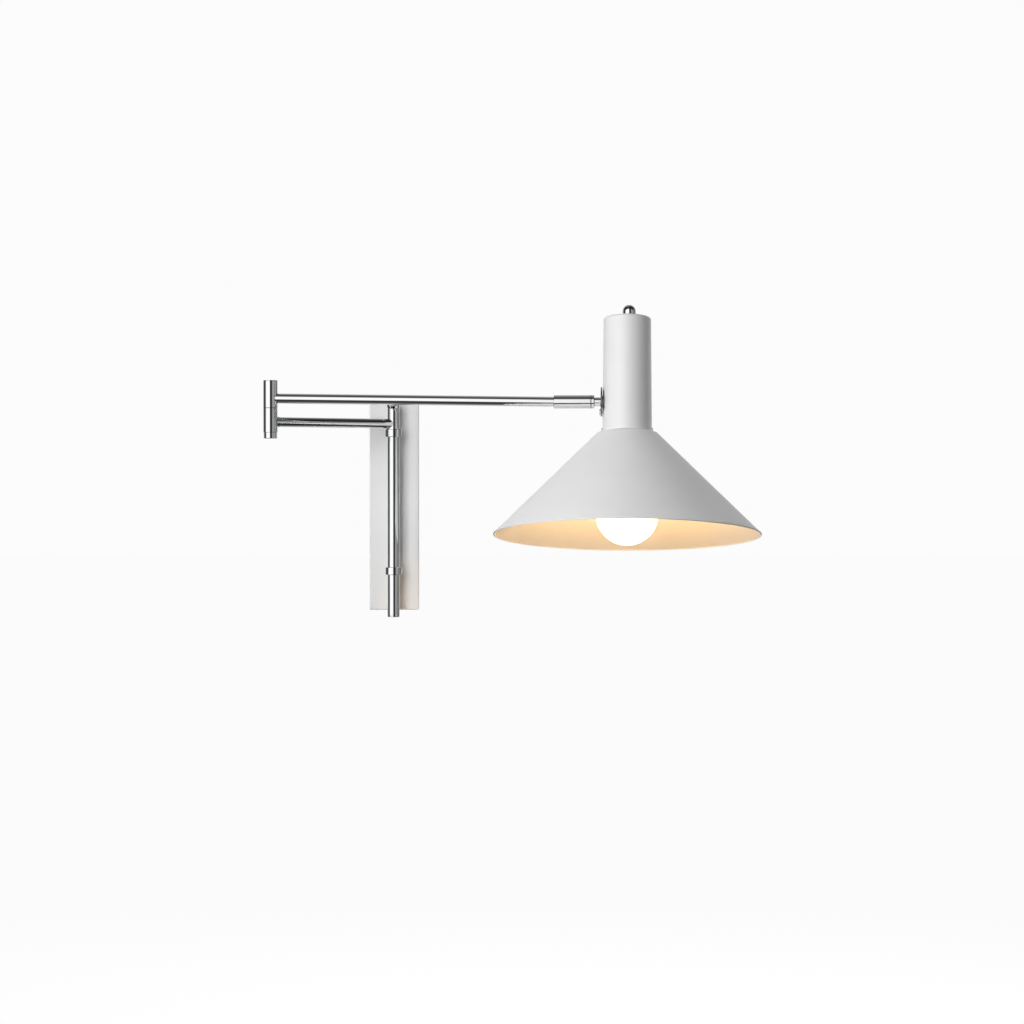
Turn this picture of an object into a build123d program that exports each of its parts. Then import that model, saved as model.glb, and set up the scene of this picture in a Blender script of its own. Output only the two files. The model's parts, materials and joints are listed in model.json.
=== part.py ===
from build123d import *
import os
from math import atan2, cos, radians, sin, sqrt

"""Swing arm wall lamp, in millimetres.

The origin is the centre of the back plate on the wall face.
+X runs along the wall to the right, +Y into the wall and +Z up, so the lamp stands out along -Y.
"""

# Back plate and wall strap
plate_width = 65.0
plate_height = 280.0
plate_depth = 18.0
plate_sheet = 2.0
plate_edge_radius = 1.4
strap_width = 46.0
strap_sheet = 2.0
strap_tab_depth = 13.0
strap_gap = 0.3
wall_slot_spacing = 230.0
wall_slot_width = 5.0
wall_slot_length = 12.0
set_screw_radius = 2.0
cable_hole_height = 45.0
cable_hole_radius = 8.0
grommet_bore_radius = 5.0
grommet_flange_radius = 10.0
grommet_flange = 1.6
terminal_height = -14.0
terminal_size = (30.0, 11.0, 20.0)
terminal_pitch = 9.5
terminal_screw_radius = 1.9
earth_height = -48.0
earth_screw_radius = 2.0

# Eye brackets that carry the post
post_from_plate = 20.0
upper_eye_height = 94.0
lower_eye_height = -87.7
eye_radius = 11.1
eye_height = 10.0
bush_wall = 0.95
stem_radius = 6.0
stud_radius = 4.0
stud_length = 12.0
stud_nut_width = 13.0
stud_nut_height = 6.0
stud_washer_radius = 8.0
stud_washer = 1.2
lead_bore_radius = 2.5

# Post and its caps
post_radius = 8.0
post_wall = 1.5
post_top = 126.5
post_bottom = -145.8
top_cap_radius = 8.9
top_cap_height = 8.0
bottom_cap_height = 2.6
cap_spigot = 8.0
thrust_washer_radius = 10.2
thrust_washer_height = 0.9

# Arms
arm_radius = 6.35
arm_wall = 1.2
lower_arm_height = 106.5
lower_arm_length = 183.0
lower_arm_angle = 34.0
lower_collar_radius = 6.9
lower_collar_length = 3.0
upper_arm_height = 136.5
upper_arm_reach = 454.5
upper_arm_angle = 3.0
upper_arm_drop = 5.0
lead_window_radius = 3.6

# Elbow
elbow_radius = 9.2
elbow_wall = 1.5
elbow_bottom = 93.3
elbow_seam = 124.0
elbow_top = 158.3
elbow_seam_washer = 0.5
elbow_bottom_cap_radius = 8.6
elbow_bottom_cap_height = 8.0
elbow_top_cap_height = 1.3
elbow_spigot = 5.0
spindle_radius = 5.0
spindle_bore_radius = 3.5
spindle_foot = 2.0
elbow_bush_length = 6.5
lock_nut_height = 3.8
lock_nut_gap = 0.9

# Swivel between the upper arm and the head, by distance from the head's centre line
sleeve_start = 93.0
sleeve_end = 41.6
sleeve_radius = 8.55
sleeve_round = 1.6
socket_depth = 24.0
swivel_bore_radius = 7.0
end_ring_length = 3.6
groove_width = 0.9
groove_depth = 0.75
end_ring_nose = 2.8
neck_radius = 5.7
neck_spindle_radius = 5.0
neck_bore_radius = 2.8
neck_flange_radius = 6.6
neck_flange = 3.2
neck_tail = 14.0
tail_bush_length = 11.0
friction_washer = 1.2
disc_radius = 18.7
disc_thickness = 1.8
disc_gap = 0.56
disc_screw_drop = 13.2
disc_screw_radius = 1.5
disc_screw_head_radius = 4.3
disc_screw_head = 1.6
spacer_radius = 8.0
inner_saddle_radius = 9.0
inner_saddle = 1.4
neck_nut_width = 14.0
neck_nut_height = 4.5

# Head, by height along its own axis from the swivel axis
head_tilt = 8.3
housing_top = 108.0
housing_bottom = -38.6
housing_top_radius = 30.1
housing_bottom_radius = 31.2
housing_wall = 1.2
housing_round = 3.2
shade_rim_radius = 168.2
shade_rim_height = -169.6
shoulder_radius = 38.6
shoulder_height = -40.8
shoulder_round = 1.6
shade_sheet = 1.0
shade_bead_radius = 0.9
collar_height = 13.0
collar_gap = 0.2
shade_screw_height = -35.8
shade_screw_radius = 1.4
shade_screw_head_radius = 2.1
shade_screw_head = 1.3
shade_screw_length = 6.0
shade_screw_count = 2

# Lampholder and bulb
bridge_sheet = 1.5
bridge_height = -23.0
nipple_radius = 5.0
nipple_bore_radius = 3.5
nipple_nut_width = 14.0
nipple_nut_height = 4.5
holder_radius = 20.5
holder_skirt_radius = 19.6
holder_wall = 2.0
holder_top = -33.0
holder_split = -57.0
holder_bottom = -90.0
holder_core_height = 9.0
thread_radius = 13.0
thread_sheet = 0.5
thread_clearance = 0.25
thread_pitch = 3.6
contact_radius = 3.0
contact_height = 2.0
bulb_radius = 39.5
bulb_centre = -143.0
bulb_glass = 1.0
bulb_neck_radius = 14.6
bulb_cap_top = -64.5
bulb_cap_bottom = -87.5
bulb_tip_radius = 5.0
bulb_tip_height = 2.2

# Switch on top of the head
knob_offset = 2.2
knob_radius = 8.4
knob_height = 16.1
knob_gap = 0.8
knob_recess_radius = 7.3
knob_recess = 2.9
switch_shaft_radius = 3.0
switch_bush_radius = 4.9
switch_bush_height = 2.6
switch_body_radius = 11.0
switch_body_height = 16.0
switch_nut_width = 12.0
switch_nut_height = 1.7

# Clearances
press_gap = 0.02
running_gap = 0.06
face_gap = 0.1
hole_gap = 0.15

# Places worked out from the sizes above
post_y = -(plate_depth + post_from_plate)
elbow_x = -lower_arm_length * cos(radians(lower_arm_angle))
elbow_y = post_y - lower_arm_length * sin(radians(lower_arm_angle))
swivel_x = elbow_x + upper_arm_reach * cos(radians(upper_arm_angle))
swivel_y = elbow_y - upper_arm_reach * sin(radians(upper_arm_angle))
swivel_z = upper_arm_height - upper_arm_drop
at_post = Pos(0, post_y, 0)
at_elbow = Pos(elbow_x, elbow_y, 0)
at_swivel = Pos(swivel_x, swivel_y, swivel_z) * Rot(Z=-upper_arm_angle)
at_head = at_swivel * Rot(X=-head_tilt)
at_switch = at_head * Pos(knob_offset, 0, 0)


def rod(radius, low, high):
    """Round bar along Z between two heights."""
    return Pos(0, 0, low) * Cylinder(radius, high - low, align=(Align.CENTER, Align.CENTER, Align.MIN))


def tube(outer, inner, low, high):
    """Round tube along Z between two heights."""
    return rod(outer, low, high) - rod(inner, low - 1, high + 1)


def along_x(shape):
    """Turn a shape that was made along Z so that it lies along X."""
    return Rot(Y=90) * shape


def towards_wall(shape):
    """Turn a shape that was made along Z so that it lies along Y."""
    return Rot(X=-90) * shape


def turned(points, rounds=()):
    """Solid of revolution about Z, from (radius, height) corners and (corner number, radius) rounds."""
    face = make_face(Polyline(*points, close=True))
    for corner, radius in rounds:
        near = face.vertices().sort_by_distance(Vector(*points[corner]))[0]
        face = fillet(near, radius)
    return revolve(Plane.XZ * face, Axis.Z)


def hex_nut(width, bore, low, high):
    """Six-sided nut along Z, measured across its flats."""
    blank = extrude(RegularPolygon(width / 2, 6, major_radius=False), high - low)
    return Pos(0, 0, low) * blank - rod(bore, low - 1, high + 1)


def box_between(low, high):
    """Block between two opposite corners."""
    size = [high[i] - low[i] for i in range(3)]
    return Pos(*low) * Box(*size, align=(Align.MIN, Align.MIN, Align.MIN))


def save(node, shape):
    """Write one sub-part, or a list of like solids that share a node."""
    if isinstance(shape, list):
        shape = Compound([piece for group in shape for piece in group.solids()])
    export_step(shape, f"parts/{node}.step")


def arm_frame(start, end):
    """Place with its Z axis from one point to another."""
    run = Vector(*end) - Vector(*start)
    return Plane(origin=start, z_dir=run.normalized()).location, run.length


lower_arm_place, lower_arm_run = arm_frame(
    (0, post_y, lower_arm_height),
    (elbow_x, elbow_y, lower_arm_height),
)
socket_middle = at_swivel * Pos(-(sleeve_start - socket_depth / 2), 0, 0)
upper_arm_place, upper_arm_run = arm_frame(
    (elbow_x, elbow_y, upper_arm_height),
    tuple(socket_middle.position),
)


# Wall bracket: everything that stays still

def wall_strap():
    """Steel strap with slots for the wall screws and a tab at each end for the plate's set screws."""
    half = plate_height / 2 - plate_sheet - strap_gap
    body = box_between((-strap_width / 2, -strap_sheet, -half), (strap_width / 2, 0, half))
    for side in (-1, 1):
        inner = side * (half - strap_sheet)
        low, high = sorted((inner, side * half))
        body += box_between((-strap_width / 2, -strap_tab_depth, low), (strap_width / 2, 0, high))
        screw_hole = rod(set_screw_radius + press_gap, low - 1, high + 1)
        body -= Pos(0, -plate_depth / 2, 0) * screw_hole
        slot = SlotOverall(wall_slot_length, wall_slot_width, rotation=90)
        cutter = extrude(Plane.XZ * slot, 2 * strap_sheet, both=True)
        body -= Pos(0, 0, side * wall_slot_spacing / 2) * cutter
    holes = (
        (cable_hole_height, cable_hole_radius),
        (terminal_height, terminal_screw_radius + press_gap),
        (earth_height, earth_screw_radius + press_gap),
    )
    for height, radius in holes:
        body -= Pos(0, 0, height) * towards_wall(rod(radius, -strap_sheet - 1, 1))
    return body


def back_plate():
    """Tray that covers the strap, with holes for the eye brackets' studs and the set screws."""
    half_width = plate_width / 2
    half_height = plate_height / 2
    tray = box_between((-half_width, -plate_depth, -half_height), (half_width, 0, half_height))
    tray = fillet(tray.edges().filter_by(Axis.Y), plate_edge_radius)
    tray = fillet(tray.faces().sort_by(Axis.Y)[0].edges(), plate_edge_radius)
    inside_width = half_width - plate_sheet
    inside_height = half_height - plate_sheet
    tray -= box_between(
        (-inside_width, -plate_depth + plate_sheet, -inside_height),
        (inside_width, 1, inside_height),
    )
    for height in (upper_eye_height, lower_eye_height):
        hole = rod(stud_radius + hole_gap, -plate_depth - 1, -plate_depth + plate_sheet + 1)
        tray -= Pos(0, 0, height) * towards_wall(hole)
    screw_hole = rod(set_screw_radius + hole_gap, -half_height - 1, half_height + 1)
    return tray - Pos(0, -plate_depth / 2, 0) * screw_hole


def plate_set_screws():
    """Two screws, wound out of the strap's tabs into the tray's end walls."""
    outer = plate_height / 2 - 0.4
    length = plate_sheet + strap_gap + strap_sheet + 4
    screws = []
    for turn in (0, 180):
        screw = rod(set_screw_radius, outer - length, outer)
        screw = chamfer(screw.edges().sort_by(Axis.Z)[0], 0.5)
        screw -= Pos(0, 0, outer) * extrude(RegularPolygon(1.0, 6), -1.6)
        screws.append(Pos(0, -plate_depth / 2, 0) * Rot(Y=turn) * screw)
    return screws


def cable_grommet():
    """Rubber ring in the strap's cable hole."""
    shape = turned([
        (grommet_bore_radius, 0),
        (cable_hole_radius - press_gap, 0),
        (cable_hole_radius - press_gap, strap_sheet + face_gap / 2),
        (grommet_flange_radius, strap_sheet + face_gap / 2),
        (grommet_flange_radius, strap_sheet + grommet_flange),
        (grommet_bore_radius, strap_sheet + grommet_flange),
    ], rounds=[(4, 0.6)])
    return Pos(0, 0, cable_hole_height) * Rot(X=90) * shape


def terminal_block():
    """Three-way block for the mains wires, screwed to the strap."""
    width, depth, height = terminal_size
    front = -strap_sheet - depth
    block = box_between((-width / 2, front, -height / 2), (width / 2, -strap_sheet, height / 2))
    block = fillet(block.edges().filter_by(Axis.Y), 1.5)
    for index in (-1, 0, 1):
        x = index * terminal_pitch
        entry = rod(2.0, -height, height)
        block -= Pos(x, front + depth / 2, 0) * entry
        for side in (-1, 1):
            well = towards_wall(rod(terminal_screw_radius + hole_gap, front - 1, front + depth / 2))
            block -= Pos(x, 0, side * height / 4) * well
    block -= towards_wall(rod(terminal_screw_radius + hole_gap, front - 1, 1))
    return Pos(0, 0, terminal_height) * block


def terminal_screws():
    """Six wire screws in the block and the longer one that holds it to the strap."""
    width, depth, height = terminal_size
    front = -strap_sheet - depth
    screws = []
    for index in (-1, 0, 1):
        for side in (-1, 1):
            screw = towards_wall(rod(terminal_screw_radius, front + 1.5, front + depth / 2 - 0.3))
            slot = box_between((-0.4, front, -3), (0.4, front + 2.2, 3))
            place = Pos(index * terminal_pitch, 0, terminal_height + side * height / 4)
            screws.append(place * (screw - slot))
    screws.append(Pos(0, 0, terminal_height) * towards_wall(rod(terminal_screw_radius, front + 1.5, 0)))
    return screws


def earth_screw():
    """Earth screw and its cup washer on the strap."""
    shank = rod(earth_screw_radius, -strap_sheet - 1, 0)
    washer = rod(4.6, -strap_sheet - 0.8, -strap_sheet)
    head = rod(3.6, -strap_sheet - 3.4, -strap_sheet - 0.8)
    head = fillet(head.edges().sort_by(Axis.Z)[0], 1.2)
    screw = towards_wall(shank + washer + head)
    slot = box_between((-0.5, -strap_sheet - 4, -4), (0.5, -strap_sheet - 2.4, 4))
    return Pos(0, 0, earth_height) * (screw - slot)


def eye_bracket(height, hollow):
    """Ring round the post, with a stem to the plate and a stud through it."""
    ring = rod(eye_radius, -eye_height / 2, eye_height / 2)
    ring = fillet(ring.edges().filter_by(GeomType.CIRCLE), 0.7)
    stem = towards_wall(rod(stem_radius - 1.8, 0, post_from_plate))
    foot = towards_wall(rod(stem_radius, post_from_plate - 5.0, post_from_plate))
    stud = towards_wall(rod(stud_radius, post_from_plate, post_from_plate + stud_length))
    shape = ring + stem + foot + stud
    shape -= rod(post_radius + bush_wall, -eye_height, eye_height)
    if hollow:
        shape -= towards_wall(rod(lead_bore_radius, 0, post_from_plate + stud_length + 1))
    return Pos(0, post_y, height) * shape


def ring_bushes():
    """Nylon sleeves that line the two rings."""
    pieces = []
    for height in (upper_eye_height, lower_eye_height):
        sleeve = tube(
            post_radius + bush_wall - press_gap,
            post_radius + running_gap,
            -eye_height / 2,
            eye_height / 2,
        )
        if height == upper_eye_height:
            sleeve -= towards_wall(rod(lead_bore_radius, 0, eye_radius))
        pieces.append(Pos(0, post_y, height) * sleeve)
    return pieces


def stud_washers():
    """Washers behind the plate, under the stud nuts."""
    face = -plate_depth + plate_sheet
    pieces = []
    for height in (upper_eye_height, lower_eye_height):
        washer = tube(stud_washer_radius, stud_radius + hole_gap, face, face + stud_washer)
        pieces.append(Pos(0, 0, height) * towards_wall(washer))
    return pieces


def stud_nuts():
    """Nuts that hold the eye brackets to the plate."""
    face = -plate_depth + plate_sheet + stud_washer
    pieces = []
    for height in (upper_eye_height, lower_eye_height):
        nut = hex_nut(stud_nut_width, stud_radius + press_gap, face, face + stud_nut_height)
        pieces.append(Pos(0, 0, height) * towards_wall(nut))
    return pieces


# Post and lower arm: turns in the two rings

def post_tube():
    """Upright tube, with a slot for the wires at the upper ring and a window into the lower arm."""
    shape = tube(post_radius, post_radius - post_wall, post_bottom, post_top)
    slot = tube(post_radius + 1, post_radius - post_wall - 1, -lead_bore_radius, lead_bore_radius)
    slot &= box_between((-post_radius - 2, 0, -5), (post_radius + 2, post_radius + 2, 5))
    shape -= Pos(0, 0, upper_eye_height) * slot
    shape = at_post * shape
    return shape - lower_arm_place * rod(lead_window_radius, 0, post_radius + 2)


def post_top_cap():
    """Flared cap on the post."""
    flare = top_cap_height * 0.35
    spigot_radius = post_radius - post_wall - press_gap
    shape = turned([
        (0, post_top - cap_spigot),
        (spigot_radius, post_top - cap_spigot),
        (spigot_radius, post_top),
        (post_radius, post_top),
        (top_cap_radius, post_top + flare),
        (top_cap_radius, post_top + top_cap_height),
        (0, post_top + top_cap_height),
    ], rounds=[(5, 1.0)])
    return at_post * shape


def post_bottom_cap():
    """Plug in the post's foot."""
    spigot_radius = post_radius - post_wall - press_gap
    shape = turned([
        (0, post_bottom - bottom_cap_height),
        (post_radius, post_bottom - bottom_cap_height),
        (post_radius, post_bottom),
        (spigot_radius, post_bottom),
        (spigot_radius, post_bottom + cap_spigot),
        (0, post_bottom + cap_spigot),
    ], rounds=[(1, 0.8)])
    return at_post * shape


def thrust_washer():
    """Washer between the upper ring and the lower arm."""
    low = upper_eye_height + eye_height / 2 + face_gap
    return at_post * tube(thrust_washer_radius, post_radius + press_gap, low, low + thrust_washer_height)


def lower_arm_tube():
    """Tube from the post to the elbow, shaped at both ends to the tube that it meets."""
    shape = lower_arm_place * tube(arm_radius, arm_radius - arm_wall, 0, lower_arm_run)
    shape -= at_post * rod(post_radius, lower_arm_height - 20, lower_arm_height + 20)
    return shape - at_elbow * rod(elbow_radius, lower_arm_height - 20, lower_arm_height + 20)


def lower_arm_collar():
    """Slim collar where the lower arm meets the elbow."""
    end = lower_arm_run - sqrt(elbow_radius ** 2 - arm_radius ** 2)
    shape = tube(lower_collar_radius, arm_radius + press_gap, end - lower_collar_length - 2, lower_arm_run)
    shape = lower_arm_place * shape
    return shape - at_elbow * rod(elbow_radius, lower_arm_height - 20, lower_arm_height + 20)


def lower_elbow_tube():
    """Lower half of the elbow."""
    shape = at_elbow * tube(elbow_radius, elbow_radius - elbow_wall, elbow_bottom, elbow_seam)
    window = rod(lead_window_radius, lower_arm_run - elbow_radius - 2, lower_arm_run)
    return shape - lower_arm_place * window


def elbow_bottom_cap():
    """Plug under the elbow, a little slimmer than the tube."""
    spigot_radius = elbow_radius - elbow_wall - press_gap
    low = elbow_bottom - elbow_bottom_cap_height
    shape = turned([
        (0, low),
        (elbow_bottom_cap_radius, low),
        (elbow_bottom_cap_radius, elbow_bottom),
        (spigot_radius, elbow_bottom),
        (spigot_radius, elbow_bottom + spindle_foot - face_gap),
        (0, elbow_bottom + spindle_foot - face_gap),
    ], rounds=[(1, 0.9), (2, 0.4)])
    return at_elbow * shape


def elbow_core():
    """Ring that holds the spindle in the lower half, with a window for the wires."""
    shape = at_elbow * tube(
        elbow_radius - elbow_wall - press_gap,
        spindle_radius + press_gap,
        elbow_bottom + spindle_foot,
        elbow_seam - 1.0,
    )
    window = rod(lead_window_radius, lower_arm_run - elbow_radius, lower_arm_run)
    return shape - lower_arm_place * window


spindle_top = elbow_top - elbow_spigot - 1.0


def elbow_spindle():
    """Hollow spindle that the upper half turns on."""
    shape = at_elbow * tube(spindle_radius, spindle_bore_radius, elbow_bottom + spindle_foot, spindle_top)
    shape -= lower_arm_place * rod(lead_window_radius, lower_arm_run - elbow_radius, lower_arm_run)
    window = box_between(
        (0, -spindle_radius - 1, upper_arm_height - lead_window_radius),
        (spindle_radius + 1, spindle_radius + 1, upper_arm_height + lead_window_radius),
    )
    return shape - at_elbow * window


def elbow_seam_washer_ring():
    """Thin washer in the seam between the elbow's halves."""
    low = elbow_seam + face_gap / 2
    return at_elbow * tube(elbow_radius - 0.3, spindle_radius + running_gap, low, low + elbow_seam_washer)


def elbow_lock_nut():
    """Round nut on the spindle that keeps the upper half down."""
    high = spindle_top
    radius = elbow_radius - elbow_wall - lock_nut_gap
    shape = tube(radius, spindle_radius + press_gap, high - lock_nut_height, high)
    slot = box_between((-elbow_radius, -0.9, high - 1.2), (elbow_radius, 0.9, high + 1))
    return at_elbow * (shape - slot)


# Upper arm: turns on the elbow's spindle

upper_half_bottom = elbow_seam + elbow_seam_washer + face_gap


def upper_elbow_tube():
    """Upper half of the elbow."""
    shape = at_elbow * tube(elbow_radius, elbow_radius - elbow_wall, upper_half_bottom, elbow_top)
    return shape - upper_arm_place * rod(lead_window_radius, 0, elbow_radius + 2)


def elbow_top_cap():
    """Plug in the top of the elbow."""
    spigot_radius = elbow_radius - elbow_wall - press_gap
    shape = turned([
        (0, elbow_top - elbow_spigot),
        (spigot_radius, elbow_top - elbow_spigot),
        (spigot_radius, elbow_top),
        (elbow_radius, elbow_top),
        (elbow_radius, elbow_top + elbow_top_cap_height),
        (0, elbow_top + elbow_top_cap_height),
    ], rounds=[(4, 0.7)])
    return at_elbow * shape


def elbow_bushes():
    """Two bushes in the upper half, above and below the wires' window."""
    outer = elbow_radius - elbow_wall - press_gap
    inner = spindle_radius + running_gap
    nut_low = spindle_top - lock_nut_height - face_gap
    lows = (upper_half_bottom, nut_low - elbow_bush_length)
    return [at_elbow * tube(outer, inner, low, low + elbow_bush_length) for low in lows]


def upper_arm_tube():
    """Tube from the elbow into the swivel sleeve, falling a little towards the head."""
    end = upper_arm_run + socket_depth / 2 - 1.0
    shape = upper_arm_place * tube(arm_radius, arm_radius - arm_wall, 0, end)
    return shape - at_elbow * rod(elbow_radius, upper_arm_height - 20, upper_arm_height + 20)


def swivel_sleeve():
    """Sleeve on the arm's end: a socket for the arm and a bore for the neck's spindle."""
    body_end = sleeve_end + end_ring_length + groove_width
    shape = rod(sleeve_radius, -sleeve_start, -body_end)
    shape = fillet(shape.edges().sort_by(Axis.Z)[0], sleeve_round)
    shape -= rod(swivel_bore_radius, -(sleeve_start - socket_depth - 3), 0)
    shape -= rod(arm_radius - arm_wall, -sleeve_start, 0)
    shape = at_swivel * along_x(shape)
    run = upper_arm_run + socket_depth / 2
    return shape - upper_arm_place * rod(arm_radius + press_gap, run - socket_depth - 5, run)


def swivel_end_ring():
    """Ring screwed into the sleeve's end, with a groove beside it."""
    ring_low = -(sleeve_end + end_ring_length)
    body_end = ring_low - groove_width
    shape = turned([
        (neck_spindle_radius + running_gap, body_end - end_ring_nose),
        (swivel_bore_radius - press_gap, body_end - end_ring_nose),
        (swivel_bore_radius - press_gap, body_end),
        (sleeve_radius - groove_depth, body_end),
        (sleeve_radius - groove_depth, ring_low),
        (sleeve_radius, ring_low),
        (sleeve_radius, -sleeve_end),
        (neck_spindle_radius + running_gap, -sleeve_end),
    ], rounds=[(6, 0.5)])
    return at_swivel * along_x(shape)


nose_low = -(sleeve_end + end_ring_length + groove_width + end_ring_nose)
flange_high = nose_low - friction_washer - 2 * face_gap
flange_low = flange_high - neck_flange


def friction_washer_ring():
    """Washer that gives the swivel its drag."""
    high = nose_low - face_gap
    shape = tube(neck_flange_radius, neck_spindle_radius + running_gap, high - friction_washer, high)
    return at_swivel * along_x(shape)


def tail_bush():
    """Bush in the sleeve for the neck spindle's tail."""
    high = flange_low - face_gap
    shape = tube(
        swivel_bore_radius - press_gap,
        neck_spindle_radius + running_gap,
        high - tail_bush_length,
        high,
    )
    return at_swivel * along_x(shape)


# Head: tilts about the swivel

def housing_radius(height):
    """Outer radius of the housing at a height."""
    share = (height - housing_bottom) / (housing_top - housing_bottom)
    return housing_bottom_radius + share * (housing_top_radius - housing_bottom_radius)


side_radius = housing_radius(0)
disc_face = -(housing_radius(-disc_radius) + disc_gap)
disc_front = disc_face - disc_thickness


def housing_cutter(gap):
    """Solid of the housing's outside, grown by a gap."""
    low = housing_bottom
    high = housing_top
    return turned([
        (0, low),
        (housing_radius(low) + gap, low),
        (housing_radius(high) + gap, high),
        (0, high),
    ])


def head_housing():
    """Slightly tapered white can, closed on top, with holes for the neck, screws and switch."""
    inner_top = housing_top - housing_wall
    shape = turned([
        (0, housing_top),
        (housing_top_radius, housing_top),
        (housing_bottom_radius, housing_bottom),
        (housing_bottom_radius - housing_wall, housing_bottom),
        (housing_top_radius - housing_wall, inner_top),
        (0, inner_top),
    ], rounds=[(1, housing_round), (4, housing_round - housing_wall)])
    shape -= Pos(knob_offset, 0, 0) * rod(switch_bush_radius + hole_gap, inner_top - 5, housing_top + 5)
    shape -= along_x(rod(neck_spindle_radius + press_gap, -side_radius - 5, -side_radius + 10))
    screw_hole = along_x(rod(disc_screw_radius + press_gap, -side_radius - 5, -side_radius + 10))
    shape -= Pos(0, 0, -disc_screw_drop) * screw_hole
    for index in range(shade_screw_count):
        hole = along_x(rod(shade_screw_radius + press_gap, 20, housing_bottom_radius + 5))
        turn = Rot(Z=360 / shade_screw_count * index)
        shape -= turn * Pos(0, 0, shade_screw_height) * hole
    return at_head * shape


def swivel_neck():
    """Hollow spindle from inside the sleeve, through the disc, into the housing."""
    inner_end = -(side_radius - housing_wall - inner_saddle - neck_nut_height - 1.5)
    tail = flange_low - neck_tail
    shape = turned([
        (neck_bore_radius, tail),
        (neck_spindle_radius, tail),
        (neck_spindle_radius, flange_low),
        (neck_flange_radius, flange_low),
        (neck_flange_radius, flange_high),
        (neck_spindle_radius, flange_high),
        (neck_spindle_radius, -sleeve_end + face_gap),
        (neck_radius, -sleeve_end + face_gap),
        (neck_radius, disc_front),
        (neck_spindle_radius, disc_front),
        (neck_spindle_radius, inner_end),
        (neck_bore_radius, inner_end),
    ])
    return at_head * along_x(shape)


def saddle_disc():
    """Thin round plate between the neck and the housing."""
    shape = along_x(tube(disc_radius, neck_spindle_radius + press_gap, disc_front, disc_face))
    shape = fillet(shape.edges().filter_by(GeomType.CIRCLE).sort_by(SortBy.RADIUS)[-2:], 0.5)
    hole = along_x(rod(disc_screw_radius + press_gap, disc_front - 5, disc_face + 5))
    return at_head * (shape - Pos(0, 0, -disc_screw_drop) * hole)


def disc_screw():
    """Small screw through the disc that keeps the head from turning on its neck."""
    tip = -(side_radius - housing_wall - 2.0)
    head = rod(disc_screw_head_radius, disc_front - disc_screw_head, disc_front)
    head = fillet(head.edges().sort_by(Axis.Z)[0], 1.0)
    shape = along_x(head + rod(disc_screw_radius, disc_front, tip))
    slot = box_between(
        (disc_front - disc_screw_head - 1, -0.5, -5),
        (disc_front - disc_screw_head + 0.8, 0.5, 5),
    )
    return at_head * Pos(0, 0, -disc_screw_drop) * (shape - slot)


def saddle_spacer():
    """Spacer that is flat on the disc's side and hollowed to the housing on the other."""
    shape = along_x(tube(spacer_radius, neck_spindle_radius + press_gap, disc_face, disc_face + 5))
    return at_head * (shape - housing_cutter(0))


def inner_saddle_plate():
    """Washer inside the housing, curved to the wall on one side and flat for the nut."""
    flat = -(side_radius - housing_wall - inner_saddle)
    shape = along_x(tube(inner_saddle_radius, neck_spindle_radius + press_gap, flat - 5, flat))
    return at_head * (shape & housing_cutter(-housing_wall - face_gap))


def neck_nut():
    """Nut on the neck, inside the housing."""
    flat = -(side_radius - housing_wall - inner_saddle)
    nut = hex_nut(neck_nut_width, neck_spindle_radius + press_gap, flat, flat + neck_nut_height)
    return at_head * along_x(nut)


collar_top = housing_bottom + collar_height
collar_radius = housing_radius(collar_top) - housing_wall - collar_gap


def shade():
    """Spun cone with a gently sloping shoulder, a collar inside the housing and a beaded rim."""
    fall = atan2(shoulder_height - shade_rim_height, shade_rim_radius - shoulder_radius)
    shoulder_fall = atan2(housing_bottom - shoulder_height, shoulder_radius - housing_bottom_radius)
    middle = (fall + shoulder_fall) / 2
    corner = shade_sheet / cos((fall - shoulder_fall) / 2)
    inner_corner_radius = shoulder_radius - corner * sin(middle)
    inner_corner_height = shoulder_height - corner * cos(middle)
    inset = shade_sheet / sin(fall)
    drop = shade_sheet / cos(shoulder_fall)
    seat = housing_bottom - face_gap
    shape = turned([
        (collar_radius, seat),
        (housing_bottom_radius, seat),
        (shoulder_radius, shoulder_height),
        (shade_rim_radius, shade_rim_height),
        (shade_rim_radius - inset, shade_rim_height),
        (inner_corner_radius, inner_corner_height),
        (housing_bottom_radius - 0.4, seat - drop),
        (collar_radius - shade_sheet, seat - drop),
        (collar_radius - shade_sheet, collar_top),
        (collar_radius, collar_top),
    ], rounds=[(2, shoulder_round), (5, shoulder_round - shade_sheet)])
    bead_circle = Pos(shade_rim_radius - inset / 2, shade_rim_height) * Circle(shade_bead_radius)
    shape += revolve(Plane.XZ * bead_circle, Axis.Z)
    for index in range(shade_screw_count):
        hole = along_x(rod(shade_screw_radius + press_gap, 20, housing_bottom_radius + 5))
        turn = Rot(Z=360 / shade_screw_count * index)
        shape -= turn * Pos(0, 0, shade_screw_height) * hole
    return at_head * shape


def shade_screws():
    """Small screws round the joint of housing and shade; they hold the bridge too."""
    seat = housing_radius(shade_screw_height) + 0.05
    pieces = []
    for index in range(shade_screw_count):
        head = rod(shade_screw_head_radius, seat, seat + shade_screw_head)
        head = fillet(head.edges().sort_by(Axis.Z)[-1], 0.6)
        screw = along_x(head + rod(shade_screw_radius, seat - shade_screw_length, seat))
        slot = box_between((seat + shade_screw_head - 0.6, -0.3, -3), (seat + 3, 0.3, 3))
        turn = Rot(Z=360 / shade_screw_count * index)
        pieces.append(at_head * turn * Pos(0, 0, shade_screw_height) * (screw - slot))
    return pieces


bridge_radius = collar_radius - shade_sheet - 0.1


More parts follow.
